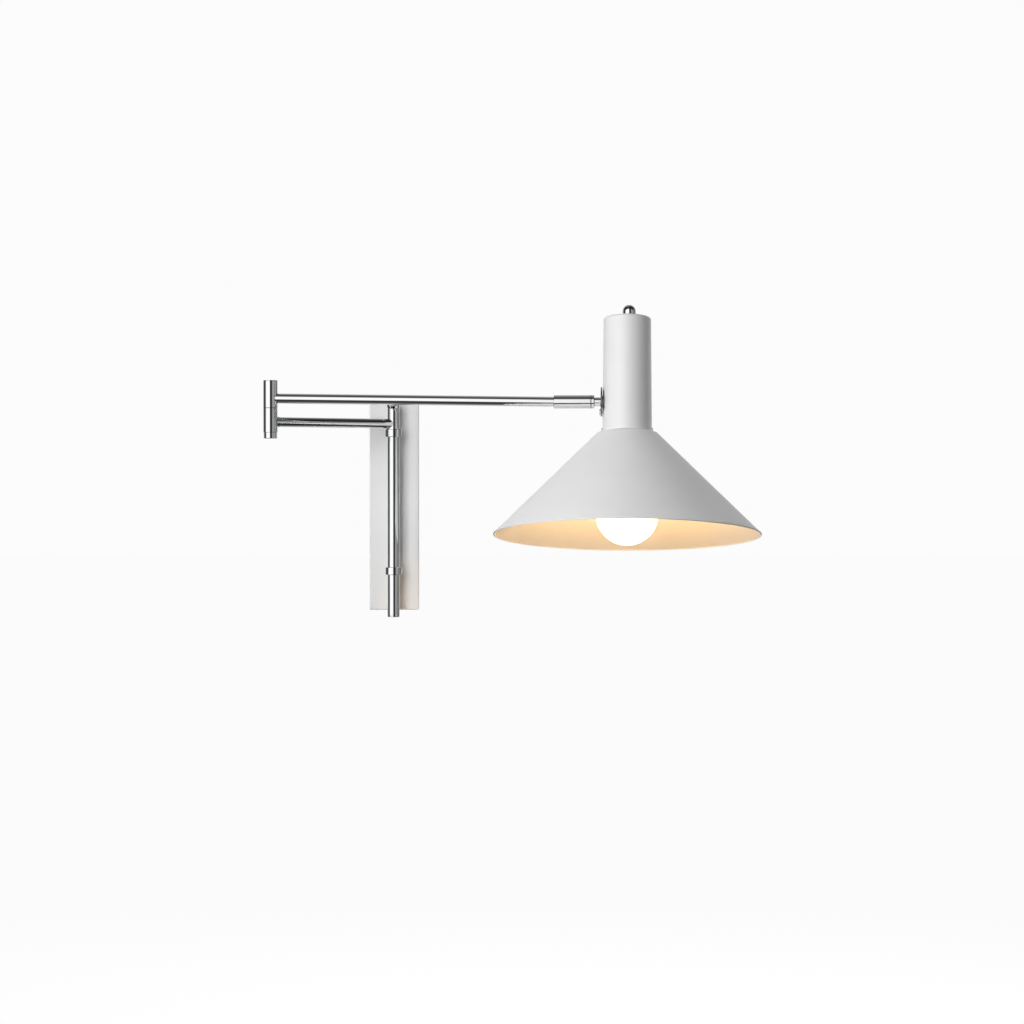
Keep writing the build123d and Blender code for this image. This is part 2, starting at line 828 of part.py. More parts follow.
def holder_bridge():
    """Shallow cup inside the shade's collar that carries the lampholder."""
    shape = turned([
        (0, bridge_height),
        (bridge_radius, bridge_height),
        (bridge_radius, housing_bottom + 0.5),
        (bridge_radius - bridge_sheet, housing_bottom + 0.5),
        (bridge_radius - bridge_sheet, bridge_height - bridge_sheet),
        (0, bridge_height - bridge_sheet),
    ], rounds=[(1, 2.0), (4, 0.5)])
    shape -= rod(nipple_radius + press_gap, bridge_height - 5, bridge_height + 5)
    for index in range(shade_screw_count):
        turn = Rot(Z=360 / shade_screw_count * index)
        hole = along_x(rod(shade_screw_radius + press_gap, 20, housing_bottom_radius + 5))
        shape -= turn * Pos(0, 0, shade_screw_height) * hole
        vent = rod(5.0, bridge_height - 5, bridge_height + 5)
        shape -= turn * Rot(Z=180 / shade_screw_count) * Pos(0.6 * bridge_radius, 0, 0) * vent
    return at_head * shape


def holder_nipple():
    """Threaded tube that joins the bridge and the lampholder."""
    low = holder_top - holder_wall - 3.0
    high = bridge_height + nipple_nut_height + 1.5
    return at_head * tube(nipple_radius, nipple_bore_radius, low, high)


def nipple_nuts():
    """Nuts on both sides of the bridge."""
    lows = (bridge_height, bridge_height - bridge_sheet - nipple_nut_height)
    bore = nipple_radius + press_gap
    return [at_head * hex_nut(nipple_nut_width, bore, low, low + nipple_nut_height) for low in lows]


def holder_cap():
    """Upper half of the lampholder."""
    shape = turned([
        (nipple_radius + press_gap, holder_top),
        (holder_radius, holder_top),
        (holder_radius, holder_split),
        (holder_radius - holder_wall, holder_split),
        (holder_radius - holder_wall, holder_top - holder_wall),
        (nipple_radius + press_gap, holder_top - holder_wall),
    ], rounds=[(1, 4.0), (4, 2.0)])
    return at_head * shape


def holder_core():
    """Insulating disc inside the lampholder that carries the contacts."""
    radius = holder_radius - holder_wall - press_gap
    low = holder_split + face_gap
    shape = rod(radius, low, low + holder_core_height)
    for side in (-1, 1):
        shape -= Pos(side * 9, 0, 0) * rod(1.6, low - 1, low + holder_core_height + 1)
    return at_head * shape


def holder_skirt():
    """Lower half of the lampholder, round the bulb's cap."""
    inner = holder_skirt_radius - holder_wall
    shape = turned([
        (inner, holder_split),
        (holder_skirt_radius, holder_split),
        (holder_skirt_radius, holder_bottom),
        (inner, holder_bottom),
    ], rounds=[(2, 0.8)])
    for index in range(4):
        ridge_height = holder_split - 6 - index * 4
        ridge = tube(holder_skirt_radius + 0.5, holder_skirt_radius - 0.5, ridge_height, ridge_height + 1.6)
        shape += ridge
    return at_head * shape


def holder_thread():
    """Ribbed metal sleeve that takes the bulb's screw cap, with a flange on the core."""
    inner = thread_radius + thread_clearance
    outer = inner + thread_sheet
    shape = tube(outer, inner, bulb_cap_bottom + 2, holder_split)
    shape += tube(holder_skirt_radius - holder_wall - 0.2, inner, holder_split - 0.8, holder_split)
    rings = int((holder_split - 2 - bulb_cap_bottom - 4) / thread_pitch)
    for index in range(rings):
        height = holder_split - 3 - index * thread_pitch
        shape += tube(outer + 0.5, outer - 0.2, height - 0.8, height + 0.8)
    return at_head * shape


def holder_contact():
    """Spring contact in the middle of the core."""
    low = bulb_cap_top + bulb_tip_height + face_gap
    button = rod(contact_radius, low, low + contact_height)
    return at_head * (button + rod(contact_radius / 2, low, holder_split))


def bulb_globe():
    """Opal glass globe with a neck, open at the cap."""
    neck_low = bulb_centre + bulb_radius * 0.80
    neck_start = sqrt(bulb_radius ** 2 - (neck_low - bulb_centre) ** 2)
    outside = turned([
        (0, neck_low - 6),
        (neck_start, neck_low - 6),
        (neck_start, neck_low),
        (bulb_neck_radius, bulb_cap_bottom - 3),
        (bulb_neck_radius, bulb_cap_bottom - face_gap),
        (0, bulb_cap_bottom - face_gap),
    ])
    outside = Pos(0, 0, bulb_centre) * Sphere(bulb_radius) + outside
    inside = turned([
        (0, neck_low - 8),
        (neck_start - bulb_glass, neck_low - 8),
        (neck_start - bulb_glass, neck_low),
        (bulb_neck_radius - bulb_glass, bulb_cap_bottom - 3),
        (bulb_neck_radius - bulb_glass, bulb_cap_bottom + 1),
        (0, bulb_cap_bottom + 1),
    ])
    inside = Pos(0, 0, bulb_centre) * Sphere(bulb_radius - bulb_glass) + inside
    return at_head * (outside - inside)


def bulb_cap():
    """Screw cap of the bulb, with its rolled thread."""
    core = thread_radius - 1.0
    shape = rod(core, bulb_cap_bottom, bulb_cap_top)
    shape += rod(thread_radius, bulb_cap_bottom, bulb_cap_bottom + 2)
    rings = int((bulb_cap_top - bulb_cap_bottom - 6) / thread_pitch)
    for index in range(rings + 1):
        height = bulb_cap_bottom + 4.5 + index * thread_pitch
        shape += turned([
            (core - 0.5, height - 1.4),
            (thread_radius, height - 0.4),
            (thread_radius, height + 0.4),
            (core - 0.5, height + 1.4),
        ])
    shape = chamfer(shape.edges().filter_by(GeomType.CIRCLE).sort_by(Axis.Z)[-1], 1.0)
    return at_head * shape


def bulb_tip():
    """End contact of the bulb on its insulating bead."""
    shape = turned([
        (0, bulb_cap_top),
        (bulb_tip_radius * 1.6, bulb_cap_top),
        (bulb_tip_radius, bulb_cap_top + bulb_tip_height * 0.6),
        (bulb_tip_radius, bulb_cap_top + bulb_tip_height),
        (0, bulb_cap_top + bulb_tip_height),
    ])
    return at_head * shape


# Switch: body and nut belong to the head, shaft and knob turn

def switch_body():
    """Rotary switch under the housing's top, with its threaded bush through it."""
    under_top = housing_top - housing_wall - 0.05
    bush_top = housing_top + switch_bush_height
    shape = rod(switch_body_radius, under_top - switch_body_height, under_top)
    shape = fillet(shape.edges().filter_by(GeomType.CIRCLE), 0.8)
    shape += rod(switch_bush_radius, under_top - 1, bush_top)
    shape -= rod(switch_shaft_radius + running_gap, under_top - 8, bush_top + 1)
    return at_switch * shape


def switch_nut():
    """Nut on the switch's bush, hidden in the knob."""
    low = housing_top + 0.05
    return at_switch * hex_nut(switch_nut_width, switch_bush_radius + press_gap, low, low + switch_nut_height)


def switch_shaft():
    """Shaft from the switch into the knob."""
    low = housing_top - housing_wall - 7.5
    return at_switch * rod(switch_shaft_radius, low, housing_top + knob_height * 0.6)


def switch_knob():
    """Domed knob with a recess over the nut and a blind hole for the shaft."""
    low = housing_top + knob_gap
    high = housing_top + knob_height + knob_gap
    dome = high - knob_radius
    profile = Polyline((0, high), (0, low), (knob_radius, low), (knob_radius, dome))
    arc = JernArc((knob_radius, dome), (0, 1), knob_radius, 90)
    shape = revolve(Plane.XZ * make_face(profile + arc), Axis.Z)
    shape -= rod(knob_recess_radius, low - 1, low + knob_recess - knob_gap)
    shape -= rod(switch_shaft_radius + press_gap, low, housing_top + knob_height * 0.6 + 0.2)
    return at_switch * shape


nodes = {
    "wall_strap": wall_strap,
    "back_plate": back_plate,
    "plate_set_screws": plate_set_screws,
    "cable_grommet": cable_grommet,
    "terminal_block": terminal_block,
    "terminal_screws": terminal_screws,
    "earth_screw": earth_screw,
    "upper_eye_bracket": lambda: eye_bracket(upper_eye_height, hollow=True),
    "lower_eye_bracket": lambda: eye_bracket(lower_eye_height, hollow=False),
    "ring_bushes": ring_bushes,
    "stud_washers": stud_washers,
    "stud_nuts": stud_nuts,
    "post_tube": post_tube,
    "post_top_cap": post_top_cap,
    "post_bottom_cap": post_bottom_cap,
    "thrust_washer": thrust_washer,
    "lower_arm_tube": lower_arm_tube,
    "lower_arm_collar": lower_arm_collar,
    "lower_elbow_tube": lower_elbow_tube,
    "elbow_bottom_cap": elbow_bottom_cap,
    "elbow_core": elbow_core,
    "elbow_spindle": elbow_spindle,
    "elbow_seam_washer": elbow_seam_washer_ring,
    "elbow_lock_nut": elbow_lock_nut,
    "upper_elbow_tube": upper_elbow_tube,
    "elbow_top_cap": elbow_top_cap,
    "elbow_bushes": elbow_bushes,
    "upper_arm_tube": upper_arm_tube,
    "swivel_sleeve": swivel_sleeve,
    "swivel_end_ring": swivel_end_ring,
    "friction_washer": friction_washer_ring,
    "tail_bush": tail_bush,
    "swivel_neck": swivel_neck,
    "saddle_disc": saddle_disc,
    "disc_screw": disc_screw,
    "saddle_spacer": saddle_spacer,
    "inner_saddle": inner_saddle_plate,
    "neck_nut": neck_nut,
    "head_housing": head_housing,
    "shade": shade,
    "shade_screws": shade_screws,
    "holder_bridge": holder_bridge,
    "holder_nipple": holder_nipple,
    "nipple_nuts": nipple_nuts,
    "holder_cap": holder_cap,
    "holder_core": holder_core,
    "holder_skirt": holder_skirt,
    "holder_thread": holder_thread,
    "holder_contact": holder_contact,
    "bulb_globe": bulb_globe,
    "bulb_cap": bulb_cap,
    "bulb_tip": bulb_tip,
    "switch_body": switch_body,
    "switch_nut": switch_nut,
    "switch_shaft": switch_shaft,
    "switch_knob": switch_knob,
}

os.makedirs("parts", exist_ok=True)
for node, make in nodes.items():
    save(node, make())
print(f"wrote {len(nodes)} nodes; elbow at {elbow_x:.3f}, {elbow_y:.3f}; "
      f"swivel at {swivel_x:.3f}, {swivel_y:.3f}, {swivel_z:.3f}")
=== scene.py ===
import json
import logging
import math
from collections.abc import Callable, Mapping, Sequence
from dataclasses import dataclass
from enum import Enum

import bmesh
import bpy
from mathutils import Matrix, Vector

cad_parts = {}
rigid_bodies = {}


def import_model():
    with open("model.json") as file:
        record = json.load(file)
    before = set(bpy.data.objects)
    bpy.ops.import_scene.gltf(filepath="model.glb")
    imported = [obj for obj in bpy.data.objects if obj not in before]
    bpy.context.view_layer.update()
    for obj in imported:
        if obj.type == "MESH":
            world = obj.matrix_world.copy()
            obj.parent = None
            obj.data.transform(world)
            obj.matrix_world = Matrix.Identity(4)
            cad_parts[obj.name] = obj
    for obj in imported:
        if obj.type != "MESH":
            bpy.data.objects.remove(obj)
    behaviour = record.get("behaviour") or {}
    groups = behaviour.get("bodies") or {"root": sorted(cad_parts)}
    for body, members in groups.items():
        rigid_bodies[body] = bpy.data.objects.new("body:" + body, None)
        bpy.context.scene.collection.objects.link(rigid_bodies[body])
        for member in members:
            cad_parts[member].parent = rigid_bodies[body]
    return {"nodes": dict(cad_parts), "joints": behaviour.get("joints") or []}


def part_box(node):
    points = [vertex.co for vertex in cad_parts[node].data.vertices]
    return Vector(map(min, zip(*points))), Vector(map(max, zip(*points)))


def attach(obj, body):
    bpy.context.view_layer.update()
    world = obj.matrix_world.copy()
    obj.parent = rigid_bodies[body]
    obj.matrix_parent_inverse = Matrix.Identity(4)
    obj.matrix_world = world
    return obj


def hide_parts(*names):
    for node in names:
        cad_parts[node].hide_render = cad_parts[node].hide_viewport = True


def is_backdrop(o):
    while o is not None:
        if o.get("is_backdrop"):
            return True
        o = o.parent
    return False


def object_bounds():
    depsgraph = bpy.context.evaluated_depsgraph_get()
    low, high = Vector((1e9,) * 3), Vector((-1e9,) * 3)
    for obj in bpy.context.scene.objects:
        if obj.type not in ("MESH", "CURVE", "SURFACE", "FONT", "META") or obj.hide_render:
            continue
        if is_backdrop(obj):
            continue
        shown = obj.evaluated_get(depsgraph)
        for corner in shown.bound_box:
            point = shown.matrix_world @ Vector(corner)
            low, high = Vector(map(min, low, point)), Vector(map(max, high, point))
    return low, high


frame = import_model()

Corner = tuple[float, ...]
Inputs = Mapping[str, object]

MM = 0.001
FULL_TURN = 2 * math.pi
ARC_STEP = math.radians(9)
SMALLEST_TURN = math.radians(11)
SHARP_ANGLE = math.radians(38)
SOFT_EDGE = 0.2
SUPPORT_RUN = 0.3
SUPPORT_SHARE = 0.08
ROUND_SHARE = 0.4
SAME_POINT = 1e-4
MERGE_DISTANCE = 1e-6
WELD_POINTS = 72
WELD_FACETS = 14
PRESS_GAP = 0.02
RUNNING_GAP = 0.06

log = logging.getLogger("wall_lamp")


class Body(Enum):
    """The rigid bodies that pieces ride on."""

    BRACKET = "wall_bracket"
    LOWER_ARM = "lower_arm"
    UPPER_ARM = "upper_arm"
    HEAD = "lamp_head"
    KNOB = "switch_knob"


class Slot(Enum):
    """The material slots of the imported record."""

    CHROME = "polished_chrome"
    ENAMEL = "white_enamel"
    ZINC = "zinc_steel"
    BRASS = "brass_fittings"
    NYLON = "nylon_bushes"
    RUBBER = "black_rubber"
    HOLDER = "holder_plastic"
    TERMINAL = "terminal_plastic"
    CERAMIC = "holder_ceramic"
    ALUMINIUM = "cap_aluminium"
    OPAL = "opal_glass"


# Places, read from the frame so that every piece lies where its CAD node does


def joint(name: str) -> Mapping[str, object]:
    """Find one joint of the frame.

    Args:
        name: The joint's name.

    Returns:
        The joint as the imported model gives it.
    """
    return next(entry for entry in frame["joints"] if entry["name"] == name)


def joint_point(name: str) -> Vector:
    """Return the point that a joint turns about, in metres."""
    return Vector(joint(name)["pos_m"])


def joint_axis(name: str) -> Vector:
    """Return the unit vector that a joint turns about."""
    return Vector(joint(name)["axis"]).normalized()


def node_low(name: str) -> Vector:
    """Return the lowest corner of a CAD node, in millimetres."""
    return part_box(name)[0] / MM


def node_high(name: str) -> Vector:
    """Return the highest corner of a CAD node, in millimetres."""
    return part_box(name)[1] / MM


def place_along(origin: Vector, along: Vector, beside: Vector) -> Matrix:
    """Make a place whose Z axis runs along one direction.

    Args:
        origin: Where the place's origin lies, in metres.
        along: Direction of the place's Z axis.
        beside: Direction that its X axis turns towards.

    Returns:
        The place as a four by four matrix.
    """
    z_axis = along.normalized()
    y_axis = z_axis.cross(beside).normalized()
    x_axis = y_axis.cross(z_axis)
    turn = Matrix((x_axis, y_axis, z_axis)).transposed()
    return Matrix.Translation(origin) @ turn.to_4x4()


@dataclass(frozen=True)
class Places:
    """The lamp's working axes as places whose Z axis is the axis, in metres."""

    post: Matrix
    elbow: Matrix
    lower_arm: Matrix
    upper_arm: Matrix
    swivel: Matrix
    head: Matrix
    knob: Matrix
    neck: Matrix
    lower_run: float
    upper_run: float

    @staticmethod
    def from_frame(upper_arm_height: float, socket_back: float) -> "Places":
        """Work the places out from the frame's joints.

        Args:
            upper_arm_height: Height of the upper arm where it leaves the elbow, in mm.
            socket_back: Distance from the swivel back to the middle of the arm's socket, in mm.

        Returns:
            All places of the lamp.
        """
        up = Vector((0, 0, 1))
        right = Vector((1, 0, 0))
        post = joint_point("post_swing")
        elbow = joint_point("elbow_swing")
        swivel = joint_point("head_tilt")
        across = -joint_axis("head_tilt")
        head_up = joint_axis("knob_turn")
        knob = joint_point("knob_turn")
        knob_foot = knob - head_up * (knob - swivel).dot(head_up)
        lower_end = Vector((elbow.x, elbow.y, post.z))
        upper_start = Vector((elbow.x, elbow.y, upper_arm_height * MM))
        socket = swivel - across * socket_back * MM
        return Places(
            post=Matrix.Translation((post.x, post.y, 0)),
            elbow=Matrix.Translation((elbow.x, elbow.y, 0)),
            lower_arm=place_along(post, lower_end - post, up),
            upper_arm=place_along(upper_start, socket - upper_start, up),
            swivel=place_along(swivel, across, up),
            head=place_along(swivel, head_up, across),
            knob=place_along(knob_foot, head_up, across),
            neck=place_along(swivel, across, head_up),
            lower_run=(lower_end - post).length / MM,
            upper_run=(socket - upper_start).length / MM,
        )


# Outlines of turned pieces


def corner_arc(point: Vector, before: Vector, after: Vector, radius: float,
               shares: tuple[float, float]) -> list[Vector]:
    """Round one corner of an outline.

    Args:
        point: The corner.
        before: Run from the corner back to the corner before it.
        after: Run from the corner on to the next one.
        radius: Radius of the round, in mm.
        shares: How much of each run the round may take, from 0 to 1.

    Returns:
        The points of the arc, with a support point on the run at each side that keeps flats flat.
    """
    inside = before.angle(after)
    if radius <= 0 or math.pi - inside < SMALLEST_TURN:
        return [point]
    reach = radius / math.tan(inside / 2)
    reach = min(reach, shares[0] * before.length, shares[1] * after.length)
    radius = reach * math.tan(inside / 2)
    back = before.normalized()
    onward = after.normalized()
    centre = point + (back + onward).normalized() * (radius / math.sin(inside / 2))
    spoke = point + back * reach - centre
    last = point + onward * reach - centre
    turn = math.atan2(spoke.x * last.y - spoke.y * last.x, spoke.dot(last))
    steps = max(2, math.ceil(abs(turn) / ARC_STEP))
    arc = [centre + Matrix.Rotation(turn * step / steps, 2) @ spoke for step in range(steps + 1)]
    supports = [min(SUPPORT_RUN, SUPPORT_SHARE * run.length, max(0.0, run.length - reach))
                for run in (before, after)]
    first_support = arc[0] + back * supports[0]
    last_support = arc[-1] + onward * supports[1]
    return [first_support, *arc, last_support]


def smooth_outline(corners: Sequence[Corner], closed: bool, soften: float) -> list[Vector]:
    """Turn the corners of an outline into its points.

    Args:
        corners: Distance from the axis, height and, where given, the round of each corner, in mm.
        closed: Whether the last corner joins the first one, as on a ring.
        soften: Round of the corners that give none.

    Returns:
        The outline's points, with no point twice in a row.
    """
    points = [Vector(corner[:2]) for corner in corners]
    rounds = [corner[2] if len(corner) > 2 else soften for corner in corners]
    count = len(points)
    if not closed:
        rounds[0] = 0
        rounds[-1] = 0
    outline: list[Vector] = []
    for index, point in enumerate(points):
        if rounds[index] <= 0:
            outline.append(point)
            continue
        behind = (index - 1) % count
        ahead = (index + 1) % count
        shares = tuple(ROUND_SHARE if rounds[other] > 0 else 1.0 for other in (behind, ahead))
        arc = corner_arc(point, points[behind] - point, points[ahead] - point, rounds[index], shares)
        outline += arc
    kept = [outline[0]]
    for point in outline[1:]:
        if (point - kept[-1]).length > SAME_POINT:
            kept.append(point)
    return kept


def doubled_area(outline: Sequence[Vector]) -> float:
    """Return twice the signed area inside an outline."""
    pairs = zip(outline, [*outline[1:], outline[0]])
    return sum(first.x * second.y - first.y * second.x for first, second in pairs)


def circle_arc(centre: Corner, radius: float, start: float, end: float, step: float) -> list[Corner]:
    """Sample an arc of a circle as corners without rounds.

    Args:
        centre: Distance from the axis and height of the circle's centre, in mm.
        radius: Radius of the circle, in mm.
        start: Angle of the first point from the outward direction, in degrees.
        end: Angle of the last point, in degrees.
        step: Largest angle between two points, in degrees.

    Returns:
        The arc's corners in order.
    """
    count = math.ceil(abs(end - start) / step)
    corners = []
    for index in range(count + 1):
        angle = math.radians(start + (end - start) * index / count)
        corners.append((centre[0] + radius * math.cos(angle), centre[1] + radius * math.sin(angle), 0.0))
    return corners


# Geometry node trees


class Tree:
    """A geometry node tree that is built socket by socket and then run once on a mesh."""

    def __init__(self, name: str) -> None:
        """Start an empty tree with a geometry input and output.

        Args:
            name: Name of the node group.
        """
        self.group = bpy.data.node_groups.new(name, "GeometryNodeTree")
        self.ids: dict[str, str] = {}
        self.declare("Geometry", "NodeSocketGeometry")
        self.group.interface.new_socket("Geometry", in_out="OUTPUT", socket_type="NodeSocketGeometry")
        self.start = self.add("NodeGroupInput")
        self.end = self.add("NodeGroupOutput")

    def declare(self, name: str, kind: str) -> None:
        """Add a named input to the tree and keep its identifier.

        Args:
            name: Name of the input.
            kind: Socket type of the input.
        """
        socket = self.group.interface.new_socket(name, in_out="INPUT", socket_type=kind)
        self.ids[name] = socket.identifier

    def add(self, kind: str, **settings: object) -> bpy.types.Node:
        """Add one node.

        Args:
            kind: Type of the node.
            settings: Properties to set on it.

        Returns:
            The new node.
        """
        node = self.group.nodes.new(kind)
        for name, value in settings.items():
            setattr(node, name, value)
        return node

    def join(self, source: object, target: bpy.types.NodeSocket) -> None:
        """Link a node's first output, a socket or a plain value to an input.

        Args:
            source: Node, output socket or value.
            target: Input socket that receives it.
        """
        if isinstance(source, bpy.types.Node):
            source = next(socket for socket in source.outputs if socket.enabled)
        if isinstance(source, bpy.types.NodeSocket):
            self.group.links.new(source, target)
        else:
            target.default_value = source

    def math(self, operation: str, first: object, second: object = 0.0) -> bpy.types.Node:
        """Add a math node.

        Args:
            operation: Blender's name of the operation.
            first: First operand, a socket, node or number.
            second: Second operand.

        Returns:
            The new node.
        """
        node = self.add("ShaderNodeMath", operation=operation)
        self.join(first, node.inputs[0])
        self.join(second, node.inputs[1])
        return node

    def given(self, name: str) -> bpy.types.NodeSocket:
        """Return the socket that carries one of the tree's inputs."""
        return self.start.outputs[name]

    def close(self, geometry: object) -> None:
        """End the tree in real geometry with its material set.

        Args:
            geometry: Socket or node that carries the finished geometry.
        """
        real = self.add("GeometryNodeRealizeInstances")
        dressed = self.add("GeometryNodeSetMaterial")
        self.join(geometry, real.inputs["Geometry"])
        self.join(real, dressed.inputs["Geometry"])
        self.join(self.given("Material"), dressed.inputs["Material"])
        self.join(dressed, self.end.inputs["Geometry"])

    def run(self, base: bpy.types.Mesh, inputs: Inputs) -> bpy.types.Mesh:
        """Run the tree on a mesh and keep the result as a plain mesh.

        Args:
            base: Mesh that goes into the tree's geometry input.
            inputs: Value of each named input.

        Returns:
            The plain mesh that the tree makes.
        """
        carrier = bpy.data.objects.new("carrier", base)
        bpy.context.scene.collection.objects.link(carrier)
        modifier = carrier.modifiers.new("tree", "NODES")
        modifier.node_group = self.group
        for name, value in inputs.items():
            modifier[self.ids[name]] = value
        made = carrier.evaluated_get(bpy.context.evaluated_depsgraph_get())
        mesh = bpy.data.meshes.new_from_object(made)
        carrier.modifiers.remove(modifier)
        bpy.data.objects.remove(carrier)
        return mesh


class SpunTree(Tree):
    """Spins an outline about the Z axis: a grid whose rows take the outline's points in turn."""

    def __init__(self) -> None:
        """Build the tree."""
        super().__init__("spun_piece")
        self.declare("Outline points", "NodeSocketInt")
        self.declare("Facets", "NodeSocketInt")
        self.declare("Material", "NodeSocketMaterial")
        grid = self.add("GeometryNodeMeshGrid")
        columns = self.math("ADD", self.given("Facets"), 1.0)
        self.join(1.0, grid.inputs["Size X"])
        self.join(1.0, grid.inputs["Size Y"])
        self.join(columns, grid.inputs["Vertices X"])
        self.join(self.given("Outline points"), grid.inputs["Vertices Y"])
        spot = self.add("ShaderNodeSeparateXYZ")
        self.join(self.add("GeometryNodeInputPosition"), spot.inputs[0])
        last = self.math("SUBTRACT", self.given("Outline points"), 1.0)
        row = self.math("ROUND", self.math("MULTIPLY", self.math("ADD", spot.outputs["Y"], 0.5), last))
        angle = self.math("MULTIPLY", self.math("ADD", spot.outputs["X"], 0.5), FULL_TURN)
        sample = self.add("GeometryNodeSampleIndex", data_type="FLOAT_VECTOR", domain="POINT")
        self.join(self.given("Geometry"), sample.inputs["Geometry"])
        self.join(self.add("GeometryNodeInputPosition"), sample.inputs["Value"])
        self.join(row, sample.inputs["Index"])
        outline = self.add("ShaderNodeSeparateXYZ")
        self.join(sample, outline.inputs[0])
        radius = outline.outputs["X"]
        ring = self.add("ShaderNodeCombineXYZ")
        self.join(self.math("MULTIPLY", radius, self.math("COSINE", angle)), ring.inputs["X"])
        self.join(self.math("MULTIPLY", radius, self.math("SINE", angle)), ring.inputs["Y"])
        self.join(outline.outputs["Z"], ring.inputs["Z"])
        spun = self.add("GeometryNodeSetPosition")
        self.join(grid.outputs["Mesh"], spun.inputs["Geometry"])
        self.join(ring, spun.inputs["Position"])
        merged = self.add("GeometryNodeMergeByDistance")
        self.join(spun, merged.inputs["Geometry"])
        self.join(MERGE_DISTANCE, merged.inputs["Distance"])
        self.close(merged)


class RingTree(Tree):
    """Repeats a small piece at equal steps round the Z axis, turned to face outwards."""

    def __init__(self) -> None:
        """Build the tree."""
        super().__init__("ring_of_pieces")
        self.declare("Count", "NodeSocketInt")
        self.declare("Height", "NodeSocketFloat")
        self.declare("Material", "NodeSocketMaterial")
        line = self.add("GeometryNodeMeshLine", mode="OFFSET")
        self.join(self.given("Count"), line.inputs["Count"])
        self.join((0.0, 0.0, 0.0), line.inputs["Offset"])
        lift = self.add("ShaderNodeCombineXYZ")
        self.join(self.given("Height"), lift.inputs["Z"])
        self.join(lift, line.inputs["Start Location"])
        turn = self.math("DIVIDE", FULL_TURN, self.given("Count"))
        angle = self.math("MULTIPLY", self.add("GeometryNodeInputIndex"), turn)
        spin = self.add("ShaderNodeCombineXYZ")
        self.join(angle, spin.inputs["Z"])
        copies = self.add("GeometryNodeInstanceOnPoints")
        self.join(line, copies.inputs["Points"])
        self.join(self.given("Geometry"), copies.inputs["Instance"])
        self.join(spin, copies.inputs["Rotation"])
        self.close(copies)


class StackTree(Tree):
    """Repeats a ring at equal steps down the Z axis."""

    def __init__(self) -> None:
        """Build the tree."""
        super().__init__("stack_of_rings")
        self.declare("Count", "NodeSocketInt")
        self.declare("Top", "NodeSocketFloat")
        self.declare("Step", "NodeSocketFloat")
        self.declare("Material", "NodeSocketMaterial")
        line = self.add("GeometryNodeMeshLine", mode="OFFSET")
        top = self.add("ShaderNodeCombineXYZ")
        down = self.add("ShaderNodeCombineXYZ")
        self.join(self.given("Top"), top.inputs["Z"])
        self.join(self.math("MULTIPLY", self.given("Step"), -1.0), down.inputs["Z"])
        self.join(self.given("Count"), line.inputs["Count"])
        self.join(top, line.inputs["Start Location"])
        self.join(down, line.inputs["Offset"])
        copies = self.add("GeometryNodeInstanceOnPoints")
        self.join(line, copies.inputs["Points"])
        self.join(self.given("Geometry"), copies.inputs["Instance"])
        self.close(copies)


class BeadTree(Tree):
    """Runs a round bead along a closed path of points."""

    def __init__(self) -> None:
        """Build the tree."""
        super().__init__("bead_on_path")
        self.declare("Bead radius", "NodeSocketFloat")
        self.declare("Facets", "NodeSocketInt")
        self.declare("Material", "NodeSocketMaterial")
        path = self.add("GeometryNodeMeshToCurve")
        self.join(self.given("Geometry"), path.inputs["Mesh"])
        circle = self.add("GeometryNodeCurvePrimitiveCircle", mode="RADIUS")
        self.join(self.given("Facets"), circle.inputs["Resolution"])
        self.join(self.given("Bead radius"), circle.inputs["Radius"])
        swept = self.add("GeometryNodeCurveToMesh")
        self.join(path, swept.inputs["Curve"])
        self.join(circle, swept.inputs["Profile Curve"])
        self.close(swept)


# Mesh work


def mesh_of(points: Sequence[Vector], edges: Sequence[tuple[int, int]] = (),
            faces: Sequence[Sequence[int]] = ()) -> bpy.types.Mesh:
    """Make a mesh.

    Args:
        points: Where its points lie, in metres.
        edges: Pairs of points that edges join.
        faces: Points round each face, in order.

    Returns:
        The new mesh.
    """
    mesh = bpy.data.meshes.new("part")
    mesh.from_pydata([tuple(point) for point in points], list(edges), [list(face) for face in faces])
    return mesh


def finish_mesh(mesh: bpy.types.Mesh, place: Matrix) -> bpy.types.Mesh:
    """Put a closed mesh in its place, turn its faces outwards and smooth its curved faces.

    Args:
        mesh: Mesh made about the origin, in metres.
        place: Where it goes.

    Returns:
        The same mesh.
    """
    mesh.transform(place)
    work = bmesh.new()
    work.from_mesh(mesh)
    if work.calc_volume(signed=True) < 0:
        bmesh.ops.reverse_faces(work, faces=work.faces)
    work.to_mesh(mesh)
    work.free()
    mesh.shade_smooth()
    mesh.set_sharp_from_angle(angle=SHARP_ANGLE)
    return mesh


def difference(mesh: bpy.types.Mesh, cutter: bpy.types.Mesh) -> bpy.types.Mesh:
    """Cut one closed mesh out of another.

    Args:
        mesh: Mesh that is cut.
        cutter: Closed mesh that is taken away.

    Returns:
        A new plain mesh.
    """
    holders = [bpy.data.objects.new("cut", mesh), bpy.data.objects.new("cutter", cutter)]
    for holder in holders:
        bpy.context.scene.collection.objects.link(holder)
    modifier = holders[0].modifiers.new("cut", "BOOLEAN")
    modifier.operation = "DIFFERENCE"
    modifier.solver = "EXACT"
    modifier.object = holders[1]
    made = holders[0].evaluated_get(bpy.context.evaluated_depsgraph_get())
    result = bpy.data.meshes.new_from_object(made)
    for holder in holders:
        bpy.data.objects.remove(holder)
    return result


